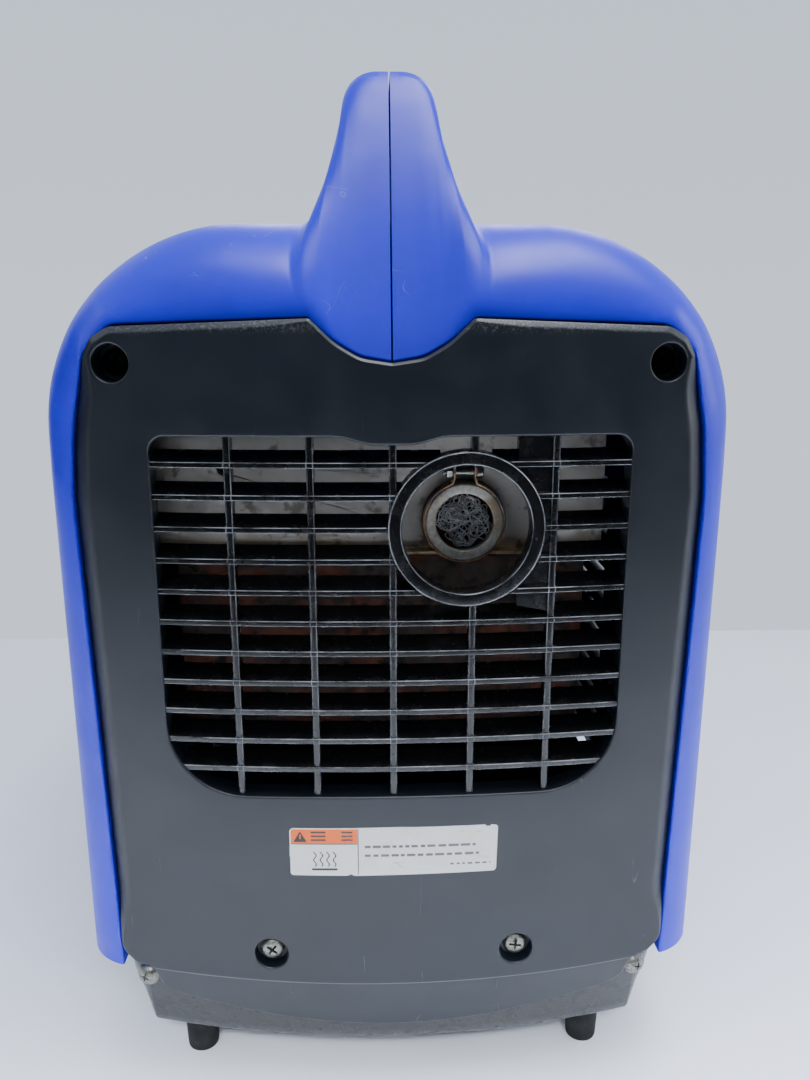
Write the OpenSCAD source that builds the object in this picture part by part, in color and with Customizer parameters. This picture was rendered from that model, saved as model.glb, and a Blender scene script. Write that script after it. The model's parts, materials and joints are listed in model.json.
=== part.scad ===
/* [Overall] */
// Width across the two housing shells
body_w = 280; // [276:1:284]
// Half of the length over the two end panels
half_l = 245; // [244:0.5:246]
// Height of the handle's top above the ground
top_z = 445; // [443:1:448]
// Height of the housing's flat top above the ground
deck_z = 386; // [384:1:388]
// Height of the shells' lower edge
skirt_z = 65; // [62:1:68]
// Height of the tray's underside
tray_z = 20; // [19:1:22]
// Wall thickness of the plastic mouldings
wall = 3; // [2.6:0.1:3.4]

/* [Housing shape] */
// Radius of the two long shoulders
shoulder_r = 80; // [76:1:84]
// Radius of the upright corners
corner_r = 24; // [20:1:26]
// Radius of the crosswise top edges
brow_r = 42; // [40:1:44]
// Width of the seam between the shells
seam = 0.6; // [0.4:0.1:1]

/* [End panels] */
// Half width of an end panel
panel_hw = 124; // [122:1:125]
// Radius of an end panel's bow
bow_r = 774; // [740:2:800]
// Height of the crease above the panel's lip
crease_z = 64; // [62:1:66]
// Number of louvres in the exhaust grille
louvres = 11; // [9:1:12]
// Distance between louvres
louvre_pitch = 12.82; // [12.5:0.02:13]

/* [Exhaust] */
// Tail pipe position across the width
pipe_x = 30.4; // [28:0.2:32]
// Tail pipe height
pipe_z = 266; // [264:0.5:268]
// Outer radius of the tail pipe
pipe_r = 16.3; // [15.8:0.1:16.8]
// Inner radius of the guard ring in the grille
ring_r = 25.8; // [25:0.1:27]

/* [Engine] */
// Crankshaft position along the length
crank_y = 10; // [8:1:12]
// Crankshaft height
crank_z = 150; // [148:1:152]
// Crankshaft radius
shaft_r = 12; // [11.5:0.1:12.5]
// Radial clearance of every turning fit
fit = 0.05; // [0.03:0.01:0.08]

/* [Fuel] */
// Filler neck position across the width
neck_x = -68; // [-70:1:-66]
// Filler neck position along the length
neck_y = 40; // [35:1:60]

/* [Hidden] */
$fn = 64;

hw = body_w / 2;
end_y = half_l - 6;          // the shells' ends, on the centre line
flat_y = end_y - 6;          // the shells' ends, at the corners
end_bow = 1100;              // bow of the shells' ends
face_y = half_l - 0.4;       // the rear panel's face, on the centre line: its label takes up the rest
fine = 360;                  // steps in a full turn of the large-radius bows
gap = 0.5;                   // clearance round removable covers

blue = [0.13, 0.17, 0.72];
charcoal = [0.16, 0.18, 0.2];
black = [0.07, 0.07, 0.08];
steel = [0.62, 0.63, 0.64];
cast = [0.55, 0.56, 0.57];
rubber = [0.1, 0.1, 0.1];

// ---------- helpers ----------
// A profile drawn as (X, Z), swept along Y from y0 to y1
module along_y(y0, y1) {
    translate([0, y1, 0]) rotate([90, 0, 0]) linear_extrude(y1 - y0) children();
}

// A profile drawn as (Y, Z), swept along X from x0 to x1
module along_x(x0, x1) {
    translate([x0, 0, 0]) rotate([90, 0, 90]) linear_extrude(x1 - x0) children();
}

// A round bar along X or along Y
module rod_x(x0, x1, y, z, r) {
    translate([x0, y, z]) rotate([0, 90, 0]) cylinder(r = r, h = x1 - x0);
}

module rod_y(y0, y1, x, z, r) {
    translate([x, y1, z]) rotate([90, 0, 0]) cylinder(r = r, h = y1 - y0);
}

module box(lo, hi) {
    translate(lo) cube(hi - lo);
}

module rounded(x0, y0, x1, y1, r) {
    translate([x0 + r, y0]) square([x1 - x0 - 2 * r, y1 - y0]);
    translate([x0, y0 + r]) square([x1 - x0, y1 - y0 - 2 * r]);
    for (x = [x0 + r, x1 - r], y = [y0 + r, y1 - r]) translate([x, y]) circle(r);
}

module both_sides() {
    children();
    mirror([1, 0, 0]) children();
}

// What is drawn for the rear end, turned to the front end
module front_side() {
    translate([0, half_l - face_y, 0]) mirror([0, 1, 0]) children();
}

module both_ends() {
    children();
    mirror([0, 1, 0]) children();
}

// A pan-head screw that points along +Y, with its head's face at y = 0
module screw(head_r, head_h, shank_r, length) {
    difference() {
        union() {
            rod_y(0, head_h, 0, 0, head_r);
            rod_y(head_h, length, 0, 0, shank_r);
        }
        for (a = [0, 90]) rotate([0, a, 0]) box([-head_r * 0.55, -1, -0.5], [head_r * 0.55, head_h * 0.6, 0.5]);
    }
}

// ---------- housing outlines ----------
module front_outline(inset) {
    w = hw - inset;
    shoulder_x = hw - shoulder_r;
    shoulder_z = deck_z - shoulder_r;
    translate([-w, skirt_z]) square([2 * w, shoulder_z - skirt_z]);
    translate([-shoulder_x, skirt_z]) square([2 * shoulder_x, deck_z - inset - skirt_z]);
    for (s = [-1, 1]) translate([s * shoulder_x, shoulder_z]) circle(shoulder_r - inset, $fn = 128);
}

module side_outline(inset) {
    y = end_y - inset;
    brow_y = end_y - brow_r;
    brow_z = deck_z - brow_r;
    translate([-y, skirt_z]) square([2 * y, brow_z - skirt_z]);
    translate([-brow_y, skirt_z]) square([2 * brow_y, deck_z - inset - skirt_z]);
    for (s = [-1, 1]) translate([s * brow_y, brow_z]) circle(brow_r - inset, $fn = 96);
}

module plan_outline(inset) {
    w = hw - inset;
    rounded(-w, -flat_y + inset, w, flat_y - inset, corner_r - inset);
    intersection() {
        translate([-(hw - corner_r), -end_y + inset]) square([2 * (hw - corner_r), 2 * (end_y - inset)]);
        translate([0, end_bow - end_y]) circle(end_bow - inset, $fn = 720);
        translate([0, end_y - end_bow]) circle(end_bow - inset, $fn = 720);
    }
}

module body_form(inset) {
    intersection() {
        along_y(-half_l, half_l) front_outline(inset);
        along_x(-hw, hw) side_outline(inset);
        translate([0, 0, skirt_z - 1]) linear_extrude(deck_z) plan_outline(inset);
    }
}

// ---------- handle outlines ----------
crest_r = 30;
crest_y = end_y - 51;
crest_z = top_z - crest_r;
grip_r = 14;

module handle_side(inset) {
    r = crest_r - inset;
    y = crest_y + r;
    foot_y = end_y - inset;
    polygon([[-foot_y, 332], [-foot_y, 350], [-y, crest_z], [y, crest_z], [foot_y, 350], [foot_y, 332]]);
    for (s = [-1, 1]) translate([s * crest_y, crest_z]) circle(r);
    translate([-crest_y, crest_z]) square([2 * crest_y, r]);
}

function handle_edge(inset) = [
    [0, 332 + inset], [12, 334 + inset], [22, 340 + inset], [30 - inset, 348], [35 - inset, 366],
    [31.4 - inset, 380], [26.7 - inset, 395], [21.9 - inset, 414], [19 - inset, top_z - grip_r]
];

module handle_front(inset) {
    for (s = [-1, 1]) {
        polygon(concat([for (p = handle_edge(inset)) [s * p[0], p[1]]], [[0, top_z - grip_r]]));
        translate([s * (19 - grip_r), top_z - grip_r]) circle(grip_r - inset);
    }
    translate([grip_r - 19, top_z - grip_r]) square([2 * (19 - grip_r), grip_r - inset]);
}

module handle_form(inset) {
    intersection() {
        along_x(-40, 40) handle_side(inset);
        along_y(-half_l, half_l) handle_front(inset);
    }
}

// Gap for the hand, between the deck and the grip
hand_y = 171;
hand_r = 15;

module hand_gap(grow) {
    along_x(-45, 45) rounded(-hand_y - hand_r - grow, deck_z - grow, hand_y + hand_r + grow,
                             deck_z + 2 * hand_r + grow, hand_r - 0.2 + grow);
}

// ---------- end panel outlines ----------
panel_top = 346;
panel_foot = crease_z + 1.2;

// One upright side of the end panels, from the crease up to the tongue of the handle
function panel_edge(grow) = [
    [panel_hw + grow, panel_foot], [panel_hw + grow, 280], [122 + grow, 307], [117.5 + grow, 335],
    [114 + grow, 342], [107 + grow, panel_top + grow], [31 + grow, 349 + grow], [23 + grow, 341],
    [12 + grow, 335 - grow], [0, 333 - grow]
];

module panel_outline(grow) {
    for (s = [-1, 1]) polygon(concat([for (p = panel_edge(grow)) [s * p[0], p[1]]], [[0, panel_foot]]));
}

// The lip under the crease: its lower edge rises towards the corners
lip_edge_z = 35.4;
lip_edge_r = 312;

module lip_outline() {
    intersection() {
        polygon([[-116, crease_z + 3], [-116, crease_z - 1.5], [-108, 54], [-108, 30], [108, 30], [108, 54],
                 [116, crease_z - 1.5], [116, crease_z + 3]]);
        translate([0, lip_edge_z + lip_edge_r]) circle(lip_edge_r, $fn = 360);
    }
}

// How far the bowed face falls back at a given distance from the centre line
function fall(x) = bow_r - sqrt(bow_r * bow_r - x * x);

// The bowed skin of an end panel, with the lip that leans in under its crease
lip_low = 34;
lip_lean = 7.5;

module bowed_skin() {
    translate([0, bow_r - face_y, 0]) rotate([0, 0, 258])
        rotate_extrude(angle = 24, $fn = fine)
            polygon([[bow_r - lip_lean, lip_low], [bow_r, crease_z], [bow_r, 352], [bow_r - wall, 352],
                     [bow_r - wall, crease_z], [bow_r - wall - lip_lean, lip_low]]);
}

// A bowed band behind the face, from one depth to another
module bowed_band(near, far) {
    translate([0, bow_r - face_y, 0]) rotate([0, 0, 258])
        rotate_extrude(angle = 24, $fn = fine)
            translate([bow_r - far, 70]) square([far - near, 270]);
}

// The side edges, which turn back from the bowed skin towards the shells
edge_x = panel_hw - 5.5;
edge_y = fall(edge_x) - face_y;

module turned_edges() {
    both_sides() translate([0, 0, panel_foot - 0.6]) linear_extrude(290)
        polygon([[edge_x - 1.5, edge_y + 0.9], [edge_x, edge_y + 0.15], [panel_hw - 2, edge_y + 1.8],
                 [panel_hw, edge_y + 5], [panel_hw, edge_y + 15], [panel_hw - wall, edge_y + 15],
                 [panel_hw - wall, edge_y + 6], [edge_x - 1.5, edge_y + 2.6]]);
}

module panel_body() {
    intersection() {
        union() {
            intersection() {
                bowed_skin();
                box([-edge_x, -300, 30], [edge_x, 0, 360]);
            }
            turned_edges();
        }
        along_y(-260, -200) {
            panel_outline(0);
            lip_outline();
        }
    }
}

// ---------- housing ----------
seat_r = 35;                 // flat seat round the filler neck
seat_z = 364;

module shell_halves() {
    difference() {
        union() {
            body_form(0);
            handle_form(0);
            translate([neck_x, neck_y, seat_z]) cylinder(r = seat_r, h = deck_z - seat_z);
        }
        difference() {
            union() {
                body_form(wall);
                translate([0, 0, skirt_z - 2]) linear_extrude(8) plan_outline(wall);
                handle_form(wall);
                translate([neck_x, neck_y, seat_z - 1]) cylinder(r = seat_r - wall, h = deck_z - wall - seat_z + 1);
            }
            hand_gap(wall);
        }
        hand_gap(0);
        both_ends() along_y(-260, -200) union() {
            panel_outline(gap);
            translate([-panel_hw - gap, 50]) square([2 * (panel_hw + gap), 30]);
        }
    }
}

cover_lo = [-140, 88];
cover_hi = [70, 258];
cover_r = 20;
knob_y = 46;                 // the service screw
knob_z = 236;

module left_shell() {
    color(blue) difference() {
        union() {
            intersection() {
                shell_halves();
                box([-hw - 1, -300, 0], [-seam / 2, 300, 500]);
            }
            // ledge behind the service cover, and the boss that its screw enters
            along_x(-hw + wall + gap, -hw + 6.5) difference() {
                rounded(cover_lo[0] - 8, cover_lo[1] - 8, cover_hi[0] + 8, cover_hi[1] + 8, cover_r + 8);
                rounded(cover_lo[0] + 8, cover_lo[1] + 8, cover_hi[0] - 8, cover_hi[1] - 8, cover_r - 8);
            }
            along_x(-hw + wall - 0.5, -hw + wall + 1) difference() {
                rounded(cover_lo[0] - 8, cover_lo[1] - 8, cover_hi[0] + 8, cover_hi[1] + 8, cover_r + 8);
                rounded(cover_lo[0], cover_lo[1], cover_hi[0], cover_hi[1], cover_r);
            }
            box([-hw + wall + gap, knob_y - 11, knob_z - 11], [-hw + 6.5, knob_y + 11, cover_hi[1] - 4]);
        }
        along_x(-hw - 1, -hw + wall + gap) rounded(cover_lo[0], cover_lo[1], cover_hi[0], cover_hi[1], cover_r);
        rod_x(-hw - 1, -hw + 20, knob_y, knob_z, 3 + fit);
        translate([neck_x, neck_y, 300]) cylinder(r = 26, h = 200);
    }
}

window_lo = [-76, 76];
window_hi = [124, 252];
window_r = 24;

module right_shell() {
    color(blue) difference() {
        intersection() {
            shell_halves();
            box([seam / 2, -300, 0], [hw + 1, 300, 500]);
        }
        along_x(hw - 20, hw + 1) rounded(window_lo[0], window_lo[1], window_hi[0], window_hi[1], window_r);
    }
}

grille_hw = 93.5;
grille_top = 305;
grille_low = 154.2;
grille_corner = 27;

module grille_outline(grow) {
    w = grille_hw + grow;
    r = grille_corner + grow;
    top_r = 6.5 + grow;
    cx = grille_hw - grille_corner;
    cz = grille_low + grille_corner;
    translate([-w, cz]) square([2 * w, grille_top - 6.5 - cz]);
    translate([-cx, grille_low - grow]) square([2 * cx, grille_top - grille_low + 2 * grow]);
    for (s = [-1, 1]) {
        translate([s * cx, cz]) circle(r);
        translate([s * (grille_hw - 6.5), grille_top - 6.5]) circle(top_r);
    }
    translate([6.5 - grille_hw, grille_top - 20]) square([2 * (grille_hw - 6.5), 20 + grow]);
}

upper_screw = [106.6, 332.5];
lower_screw = [54, 77];

module screw_cup(x, z, r, depth, shank_r) {
    y = fall(x) - face_y;
    difference() {
        rod_y(y + 1, y + depth + 2, x, z, r + 1.6);
        rod_y(y - 5, y + depth, x, z, r);
        rod_y(y, y + depth + 5, x, z, shank_r);
    }
}

louvre_low = 165.8;

module rear_panel() {
    color(charcoal) {
        difference() {
            panel_body();
            along_y(-260, -200) grille_outline(0.3);
            both_sides() {
                rod_y(-250, -220, upper_screw[0], upper_screw[1], 7.5);
                rod_y(-250, -220, lower_screw[0], lower_screw[1], 7.6);
            }
        }
        both_sides() {
            screw_cup(upper_screw[0], upper_screw[1], 7.2, 11, 2.2);
            screw_cup(lower_screw[0], lower_screw[1], 7.3, 6, 2.7);
        }
        grille_rim();
        grille_slats();
        grille_ring();
    }
}

module grille_rim() {
    intersection() {
        bowed_band(0.5, 11);
        along_y(-260, -200) difference() {
            grille_outline(2.4);
            grille_outline(0);
        }
    }
}

module grille_slats() {
    difference() {
        intersection() {
            union() {
                translate([0, bow_r - face_y, 0]) rotate([0, 0, 260]) rotate_extrude(angle = 20, $fn = fine)
                    for (i = [0 : louvres - 1]) translate([0, louvre_low + i * louvre_pitch])
                        polygon([[bow_r - 0.6, -0.9], [bow_r - 0.6, 0.9], [bow_r - 10, 4.6], [bow_r - 10, 3.1]]);
                for (x = [-64, -32, 0, 32, 64])
                    box([x - 1.5, fall(x) - face_y + 1.6, 150], [x + 1.5, fall(x) - face_y + 8, 310]);
            }
            along_y(-260, -200) grille_outline(1);
        }
        rod_y(-250, -230, pipe_x - 1.2, pipe_z + 2, ring_r + 2);
    }
}

module grille_ring() {
    difference() {
        union() {
            rod_y(-face_y + 0.8, -face_y + 9, pipe_x - 1.2, pipe_z + 2, ring_r + 5.5);
            box([pipe_x + 14, -face_y + 4, pipe_z - 24], [64, -face_y + 8, pipe_z + 30]);
        }
        rod_y(-250, -230, pipe_x - 1.2, pipe_z + 2, ring_r);
    }
}

module rear_upper_screws() {
    color(black) for (s = [-1, 1])
        translate([s * upper_screw[0], fall(upper_screw[0]) - face_y + 8, upper_screw[1]]) screw(5, 3, 2.2, 16);
}

module rear_lower_screws() {
    color(steel) for (s = [-1, 1])
        translate([s * lower_screw[0], fall(lower_screw[0]) - face_y + 2.4, lower_screw[1]]) screw(5.2, 3.6, 2.7, 9.5);
}

module rear_label() {
    color("white") intersection() {
        translate([0, bow_r - face_y, 0]) rotate([0, 0, 264]) rotate_extrude(angle = 12, $fn = fine)
            translate([bow_r, 100]) square([0.4, 60]);
        along_y(-260, -200) rounded(-44.5, 116.4, 44.5, 139.6, 1.2);
    }
}

// ---------- base ----------
tray_hw = 131;
tray_l = 230;                // to the ends of the corner arcs
tray_end = 237;              // to the middle of the bowed ends
tray_bow = 470;
tray_r = 40;
tray_top = 67;
tray_t = 2;

// The sides lean in twice towards the floor: half widths and heights
function side_profile(w, z) = [
    [13 - w, z], [w - 13, z], [w - 3, z + 22], [w, z + 44], [w, 200], [-w, 200], [-w, z + 44], [3 - w, z + 22]
];

// The bowed ends lean in too, close behind the lip of the end panel: radii and heights
function end_profile(r, z) = [
    [0, z], [r - 6.5, z], [r - 4.4, z + 13], [r - 3, z + 22], [r, z + 44], [r, 200], [0, 200]
];

module tray_plan(inset) {
    w = tray_hw - inset;
    l = tray_l - inset;
    rounded(-w, -l, w, l, tray_r - inset);
    translate([-107 + inset, -tray_end]) square([2 * (107 - inset), 2 * tray_end]);
}

module tray_form(inset) {
    z = tray_z + inset;
    intersection() {
        translate([0, 0, z]) linear_extrude(tray_top) tray_plan(inset);
        along_y(-tray_end, tray_end) polygon(side_profile(tray_hw - inset, z));
        within_bow(inset, z, 1);
        within_bow(inset, z, -1);
    }
}

// Everything within the bowed end at one end
module within_bow(inset, z, side) {
    translate([0, side * (tray_bow - tray_end), 0])
        rotate_extrude($fn = fine) polygon(end_profile(tray_bow - inset, z));
}

bolt_x = 114.6;
bolt_y = 221.5;
bolt_z = 50;
foot_x = 94;
foot_y = 207;
mount_spots = [[-50, -28], [-50, 48], [14, -28], [14, 48]];

module base_tray() {
    color(black) difference() {
        tray_form(0);
        tray_form(tray_t);
        box([-200, -300, tray_top], [200, 300, 200]);
        for (x = [-foot_x, foot_x], y = [-foot_y, foot_y]) translate([x, y, 0]) cylinder(r = 4, h = 30);
        for (x = [-bolt_x, bolt_x]) rod_y(-300, 300, x, bolt_z, 3.1);
        for (x = [-60 : 15 : 60]) box([x - 2.5, -60, 0], [x + 2.5, -20, 30]);
    }
}

// The bolts lie across the rounded corners, so each one points at its corner's centre
module tray_bolts() {
    color(steel) both_sides() both_ends()
        translate([bolt_x, -bolt_y - 4.4, bolt_z]) difference() {
            union() {
                sphere_cap(5.6, 3.2);
                rod_y(0, 10, 0, 0, 3);
            }
            for (a = [0, 90]) rotate([0, a, 0]) box([-2.6, -5, -0.45], [2.6, -1.6, 0.45]);
        }
}

// A low dome that stands out along -Y from y = 0
module sphere_cap(r, h) {
    ball = (r * r + h * h) / (2 * h);
    intersection() {
        translate([0, ball - h, 0]) sphere(ball);
        rod_y(-h - 1, 0, 0, 0, r + 1);
    }
}

module rubber_feet() {
    color(rubber) for (x = [-foot_x, foot_x], y = [-foot_y, foot_y]) translate([x, y, 0]) {
        cylinder(r1 = 7.4, r2 = 8.2, h = tray_z);
        cylinder(r = 4, h = 28);
        translate([0, 0, tray_z + tray_t]) cylinder(r1 = 7, r2 = 4, h = 6);
    }
}

// ---------- service cover ----------
module service_cover() {
    color(blue) difference() {
        union() {
            along_x(-hw, -hw + wall) rounded(cover_lo[0] + gap, cover_lo[1] + gap, cover_hi[0] - gap,
                                             cover_hi[1] - gap, cover_r - gap);
            rod_x(-hw + wall - 0.5, -hw + wall + 0.1, knob_y, knob_z, 4);
        }
        rod_x(-hw - 1, -hw + 1.6, knob_y, knob_z, 9);
        rod_x(-hw - 1, -hw + 6, knob_y, knob_z, 3 + fit);
        for (i = [0 : 5]) along_x(-hw - 1, -hw + 6) rounded(-122, 112 + i * 12, -62, 117 + i * 12, 2.4);
    }
}

module service_screw() {
    color(black) difference() {
        union() {
            rod_x(-hw + 0.2, -hw + 1.55, knob_y, knob_z, 8.6);
            rod_x(-hw + 1, -hw + 5.4, knob_y, knob_z, 3);
        }
        box([-hw - 1, knob_y - 7, knob_z - 0.8], [-hw + 0.9, knob_y + 7, knob_z + 0.8]);
    }
}

// ---------- front end ----------
plate_lo = [-98, 152];
plate_hi = [98, 318];
plate_y = 226;               // the control plate's outer face
intake_lo = [-84, 84];
intake_hi = [84, 134];

module front_cover() {
    color(charcoal) {
        difference() {
            front_side() panel_body();
            along_y(200, 260) {
                rounded(plate_lo[0] - 0.3, plate_lo[1] - 0.3, plate_hi[0] + 0.3, plate_hi[1] + 0.3, 12.3);
                rounded(intake_lo[0], intake_lo[1], intake_hi[0], intake_hi[1], 8);
            }
            both_sides() {
                rod_y(220, 250, upper_screw[0], upper_screw[1], 7.5);
                rod_y(220, 250, lower_screw[0], lower_screw[1] - 6, 7.6);
            }
        }
        front_side() both_sides() {
            screw_cup(upper_screw[0], upper_screw[1], 7.2, 11, 2.2);
            screw_cup(lower_screw[0], lower_screw[1] - 6, 7.3, 6, 2.7);
        }
        // the recess that the controls sit in
        intersection() {
            front_side() bowed_band(0.5, 20);
            along_y(plate_y, 260) difference() {
                rounded(plate_lo[0] - 2.5, plate_lo[1] - 2.5, plate_hi[0] + 2.5, plate_hi[1] + 2.5, 14.5);
                rounded(plate_lo[0], plate_lo[1], plate_hi[0], plate_hi[1], 12);
            }
        }
        // intake louvres
        intersection() {
            front_side() translate([0, bow_r - face_y, 0]) rotate([0, 0, 260])
                rotate_extrude(angle = 20, $fn = fine) for (z = [intake_lo[1] + 7 : 9 : intake_hi[1] - 3])
                    polygon([[bow_r - 0.6, z - 1], [bow_r - 0.6, z + 1], [bow_r - 9, z + 5], [bow_r - 9, z + 3]]);
            along_y(200, 260) rounded(intake_lo[0] - 1, intake_lo[1] - 1, intake_hi[0] + 1, intake_hi[1] + 1, 9);
        }
        for (x = [-56, -28, 0, 28, 56])
            box([x - 1.5, face_y - fall(x) - 8, intake_lo[1] - 1], [x + 1.5, face_y - fall(x) - 1.5, intake_hi[1] + 1]);
    }
}

knob_pos = [60, 274];
choke_pos = [60, 212];
eco_pos = [4, 266];
breaker_pos = [12, 222];
dc_pos = [10, 184];
earth_pos = [60, 174];
lens_x = [-14, 4, 22];
lens_z = 300;
ac_x = -50;
ac_z = [266, 204];
ac_size = 46;

module control_plate() {
    color(charcoal) difference() {
        along_y(plate_y - 2.5, plate_y)
            rounded(plate_lo[0] - 2.5, plate_lo[1] - 2.5, plate_hi[0] + 2.5, plate_hi[1] + 2.5, 14.5);
        along_y(200, 240) {
            translate(knob_pos) circle(6.5);
            translate(choke_pos) circle(3.6);
            translate(breaker_pos) circle(8);
            translate(dc_pos) circle(13);
            translate(earth_pos) circle(3);
            for (x = lens_x) translate([x, lens_z]) circle(4);
            for (z = ac_z) rounded(ac_x - ac_size / 2, z - ac_size / 2, ac_x + ac_size / 2, z + ac_size / 2, 4);
            rounded(eco_pos[0] - 14, eco_pos[1] - 9, eco_pos[0] + 14, eco_pos[1] + 9, 2);
        }
    }
}

module front_screws() {
    color(black) front_side() for (s = [-1, 1]) {
        translate([s * upper_screw[0], fall(upper_screw[0]) - face_y + 8, upper_screw[1]]) screw(5, 3, 2.2, 16);
        translate([s * lower_screw[0], fall(lower_screw[0]) - face_y + 2.4, lower_screw[1] - 6])
            screw(5.2, 3.6, 2.7, 9.5);
    }
}

// A two-slot outlet with a round earth hole, under a raised rim
module ac_receptacle(z) {
    color(black) difference() {
        union() {
            along_y(plate_y - 30, plate_y) rounded(ac_x - 20, z - 20, ac_x + 20, z + 20, 4);
            along_y(plate_y, plate_y + 3) difference() {
                rounded(ac_x - 26, z - 26, ac_x + 26, z + 26, 6);
                translate([ac_x, z]) circle(17.5);
            }
            along_y(plate_y - 2.5, plate_y + 0.5)
                rounded(ac_x - ac_size / 2 + 0.1, z - ac_size / 2 + 0.1, ac_x + ac_size / 2 - 0.1,
                        z + ac_size / 2 - 0.1, 4);
        }
        for (s = [-1, 1]) box([ac_x + s * 6.35 - 1.1, plate_y - 18, z - 1],
                              [ac_x + s * 6.35 + 1.1, plate_y + 5, z + 7.4]);
        rod_y(plate_y - 18, plate_y + 5, ac_x, z - 8, 2.7);
    }
}

module ac_receptacle_upper() { ac_receptacle(ac_z[0]); }

module ac_receptacle_lower() { ac_receptacle(ac_z[1]); }

module dc_outlet() {
    color(black) difference() {
        union() {
            rod_y(plate_y - 28, plate_y, dc_pos[0], dc_pos[1], 12.9);
            rod_y(plate_y, plate_y + 4, dc_pos[0], dc_pos[1], 15.5);
        }
        rod_y(plate_y - 14, plate_y + 5, dc_pos[0], dc_pos[1], 10.5);
        for (a = [0, 90]) translate([dc_pos[0], 0, dc_pos[1]]) rotate([0, a, 0])
            box([2.5, plate_y - 24, -2.6], [4, plate_y, 2.6]);
    }
}

module dc_breaker() {
    color(black) difference() {
        union() {
            rod_y(plate_y - 30, plate_y, breaker_pos[0], breaker_pos[1], 7.9);
            rod_y(plate_y, plate_y + 3, breaker_pos[0], breaker_pos[1], 10);
        }
        rod_y(plate_y - 16, plate_y + 4, breaker_pos[0], breaker_pos[1], 5 + fit);
    }
}

module dc_breaker_button() {
    color("white") rod_y(plate_y - 12, plate_y + 5, breaker_pos[0], breaker_pos[1], 5);
}

rocker_tilt = 11;
rocker_y = plate_y + 1;

module eco_switch() {
    color(black) difference() {
        union() {
            along_y(plate_y - 24, plate_y)
                rounded(eco_pos[0] - 13.9, eco_pos[1] - 8.9, eco_pos[0] + 13.9, eco_pos[1] + 8.9, 2);
            along_y(plate_y, plate_y + 2.5)
                rounded(eco_pos[0] - 16, eco_pos[1] - 11, eco_pos[0] + 16, eco_pos[1] + 11, 3);
        }
        box([eco_pos[0] - 12, plate_y - 14, eco_pos[1] - 7], [eco_pos[0] + 12, plate_y + 4, eco_pos[1] + 7]);
        translate([eco_pos[0], rocker_y - 4, eco_pos[1] - 8.4]) cylinder(r = 2 + fit, h = 16.8);
    }
}

// The rocker turns about an upright pin, and rests with its right side pressed in
module eco_rocker() {
    color(black) translate([eco_pos[0], rocker_y - 4, eco_pos[1]]) rotate([0, 0, -rocker_tilt]) {
        translate([0, 0, -6.6]) linear_extrude(13.2) difference() {
            union() {
                translate([-10.6, 0]) square([21.2, 5.5]);
                translate([-4, -5]) square([8, 6]);
            }
            translate([0, 26]) circle(21.6, $fn = 128);
        }
        translate([0, 0, -8.2]) cylinder(r = 2, h = 16.4);
    }
}

module engine_knob() {
    color(black) difference() {
        union() {
            rod_y(plate_y + 0.6, plate_y + 6, knob_pos[0], knob_pos[1], 21);
            rod_y(plate_y + 5.5, plate_y + 8, knob_pos[0], knob_pos[1], 19);
            intersection() {
                along_y(plate_y + 6, plate_y + 17) rounded(knob_pos[0] - 5.5, knob_pos[1] - 18.6,
                                                           knob_pos[0] + 5.5, knob_pos[1] + 18.6, 5);
                rod_y(plate_y, plate_y + 20, knob_pos[0], knob_pos[1], 18.6);
            }
            rod_y(plate_y - 30, plate_y + 1, knob_pos[0], knob_pos[1], 4);
        }
        box([knob_pos[0] - 1, plate_y + 16.2, knob_pos[1] + 4], [knob_pos[0] + 1, plate_y + 18, knob_pos[1] + 16]);
    }
}

module choke_knob() {
    color(black) {
        rod_y(plate_y - 34, plate_y + 4, choke_pos[0], choke_pos[1], 3);
        rod_y(plate_y + 1, plate_y + 4, choke_pos[0], choke_pos[1], 8);
        rod_y(plate_y + 4, plate_y + 7, choke_pos[0], choke_pos[1], 6);
        rod_y(plate_y + 7, plate_y + 15, choke_pos[0], choke_pos[1], 13);
    }
}

module indicator_lenses() {
    color("orange") for (x = lens_x) {
        rod_y(plate_y - 8, plate_y + 1, x, lens_z, 3.9);
        translate([x, plate_y + 1, lens_z]) mirror([0, 1, 0]) sphere_cap(3.4, 1.5);
    }
}

module earth_terminal() {
    color("gold") {
        rod_y(plate_y - 12, plate_y + 16, earth_pos[0], earth_pos[1], 2.95);
        rod_y(plate_y, plate_y + 1.4, earth_pos[0], earth_pos[1], 7.5);
        translate([earth_pos[0], plate_y + 6.6, earth_pos[1]]) rotate([90, 0, 0]) cylinder(r = 6.4, h = 5.2, $fn = 6);
        rod_y(plate_y - 6, plate_y - 2.5, earth_pos[0], earth_pos[1], 6);
    }
}

inverter_lo = [-96, 164, 62];
inverter_hi = [96, 222, 138];

module inverter_unit() {
    color(steel) difference() {
        box(inverter_lo, inverter_hi);
        // cooling fins along the top, and the potted side
        for (x = [-88 : 11 : 88]) box([x - 3.5, 160, 112], [x + 3.5, 230, 140]);
        box([-90, 160, 66], [90, 170, 106]);
    }
    color(steel) for (x = [-70, 70], y = [172, 206]) translate([x, y, tray_z + tray_t]) cylinder(r = 5, h = 40);
}

// ---------- fuel ----------
tank_y = [-92, 184];
tank_bottom = 298;
tank_top = 373;
neck_r = 19;
neck_bore = 17;
neck_top = deck_z + 4;

module tank_form(inset) {
    intersection() {
        along_y(tank_y[0] + inset, tank_y[1] - inset)
            rounded(-104 + inset, tank_bottom + inset, 104 - inset, tank_top - inset, 30 - inset);
        translate([0, 0, tank_bottom]) linear_extrude(100)
            rounded(-110, tank_y[0] + inset, 110, tank_y[1] - inset, 24);
    }
}

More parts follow.
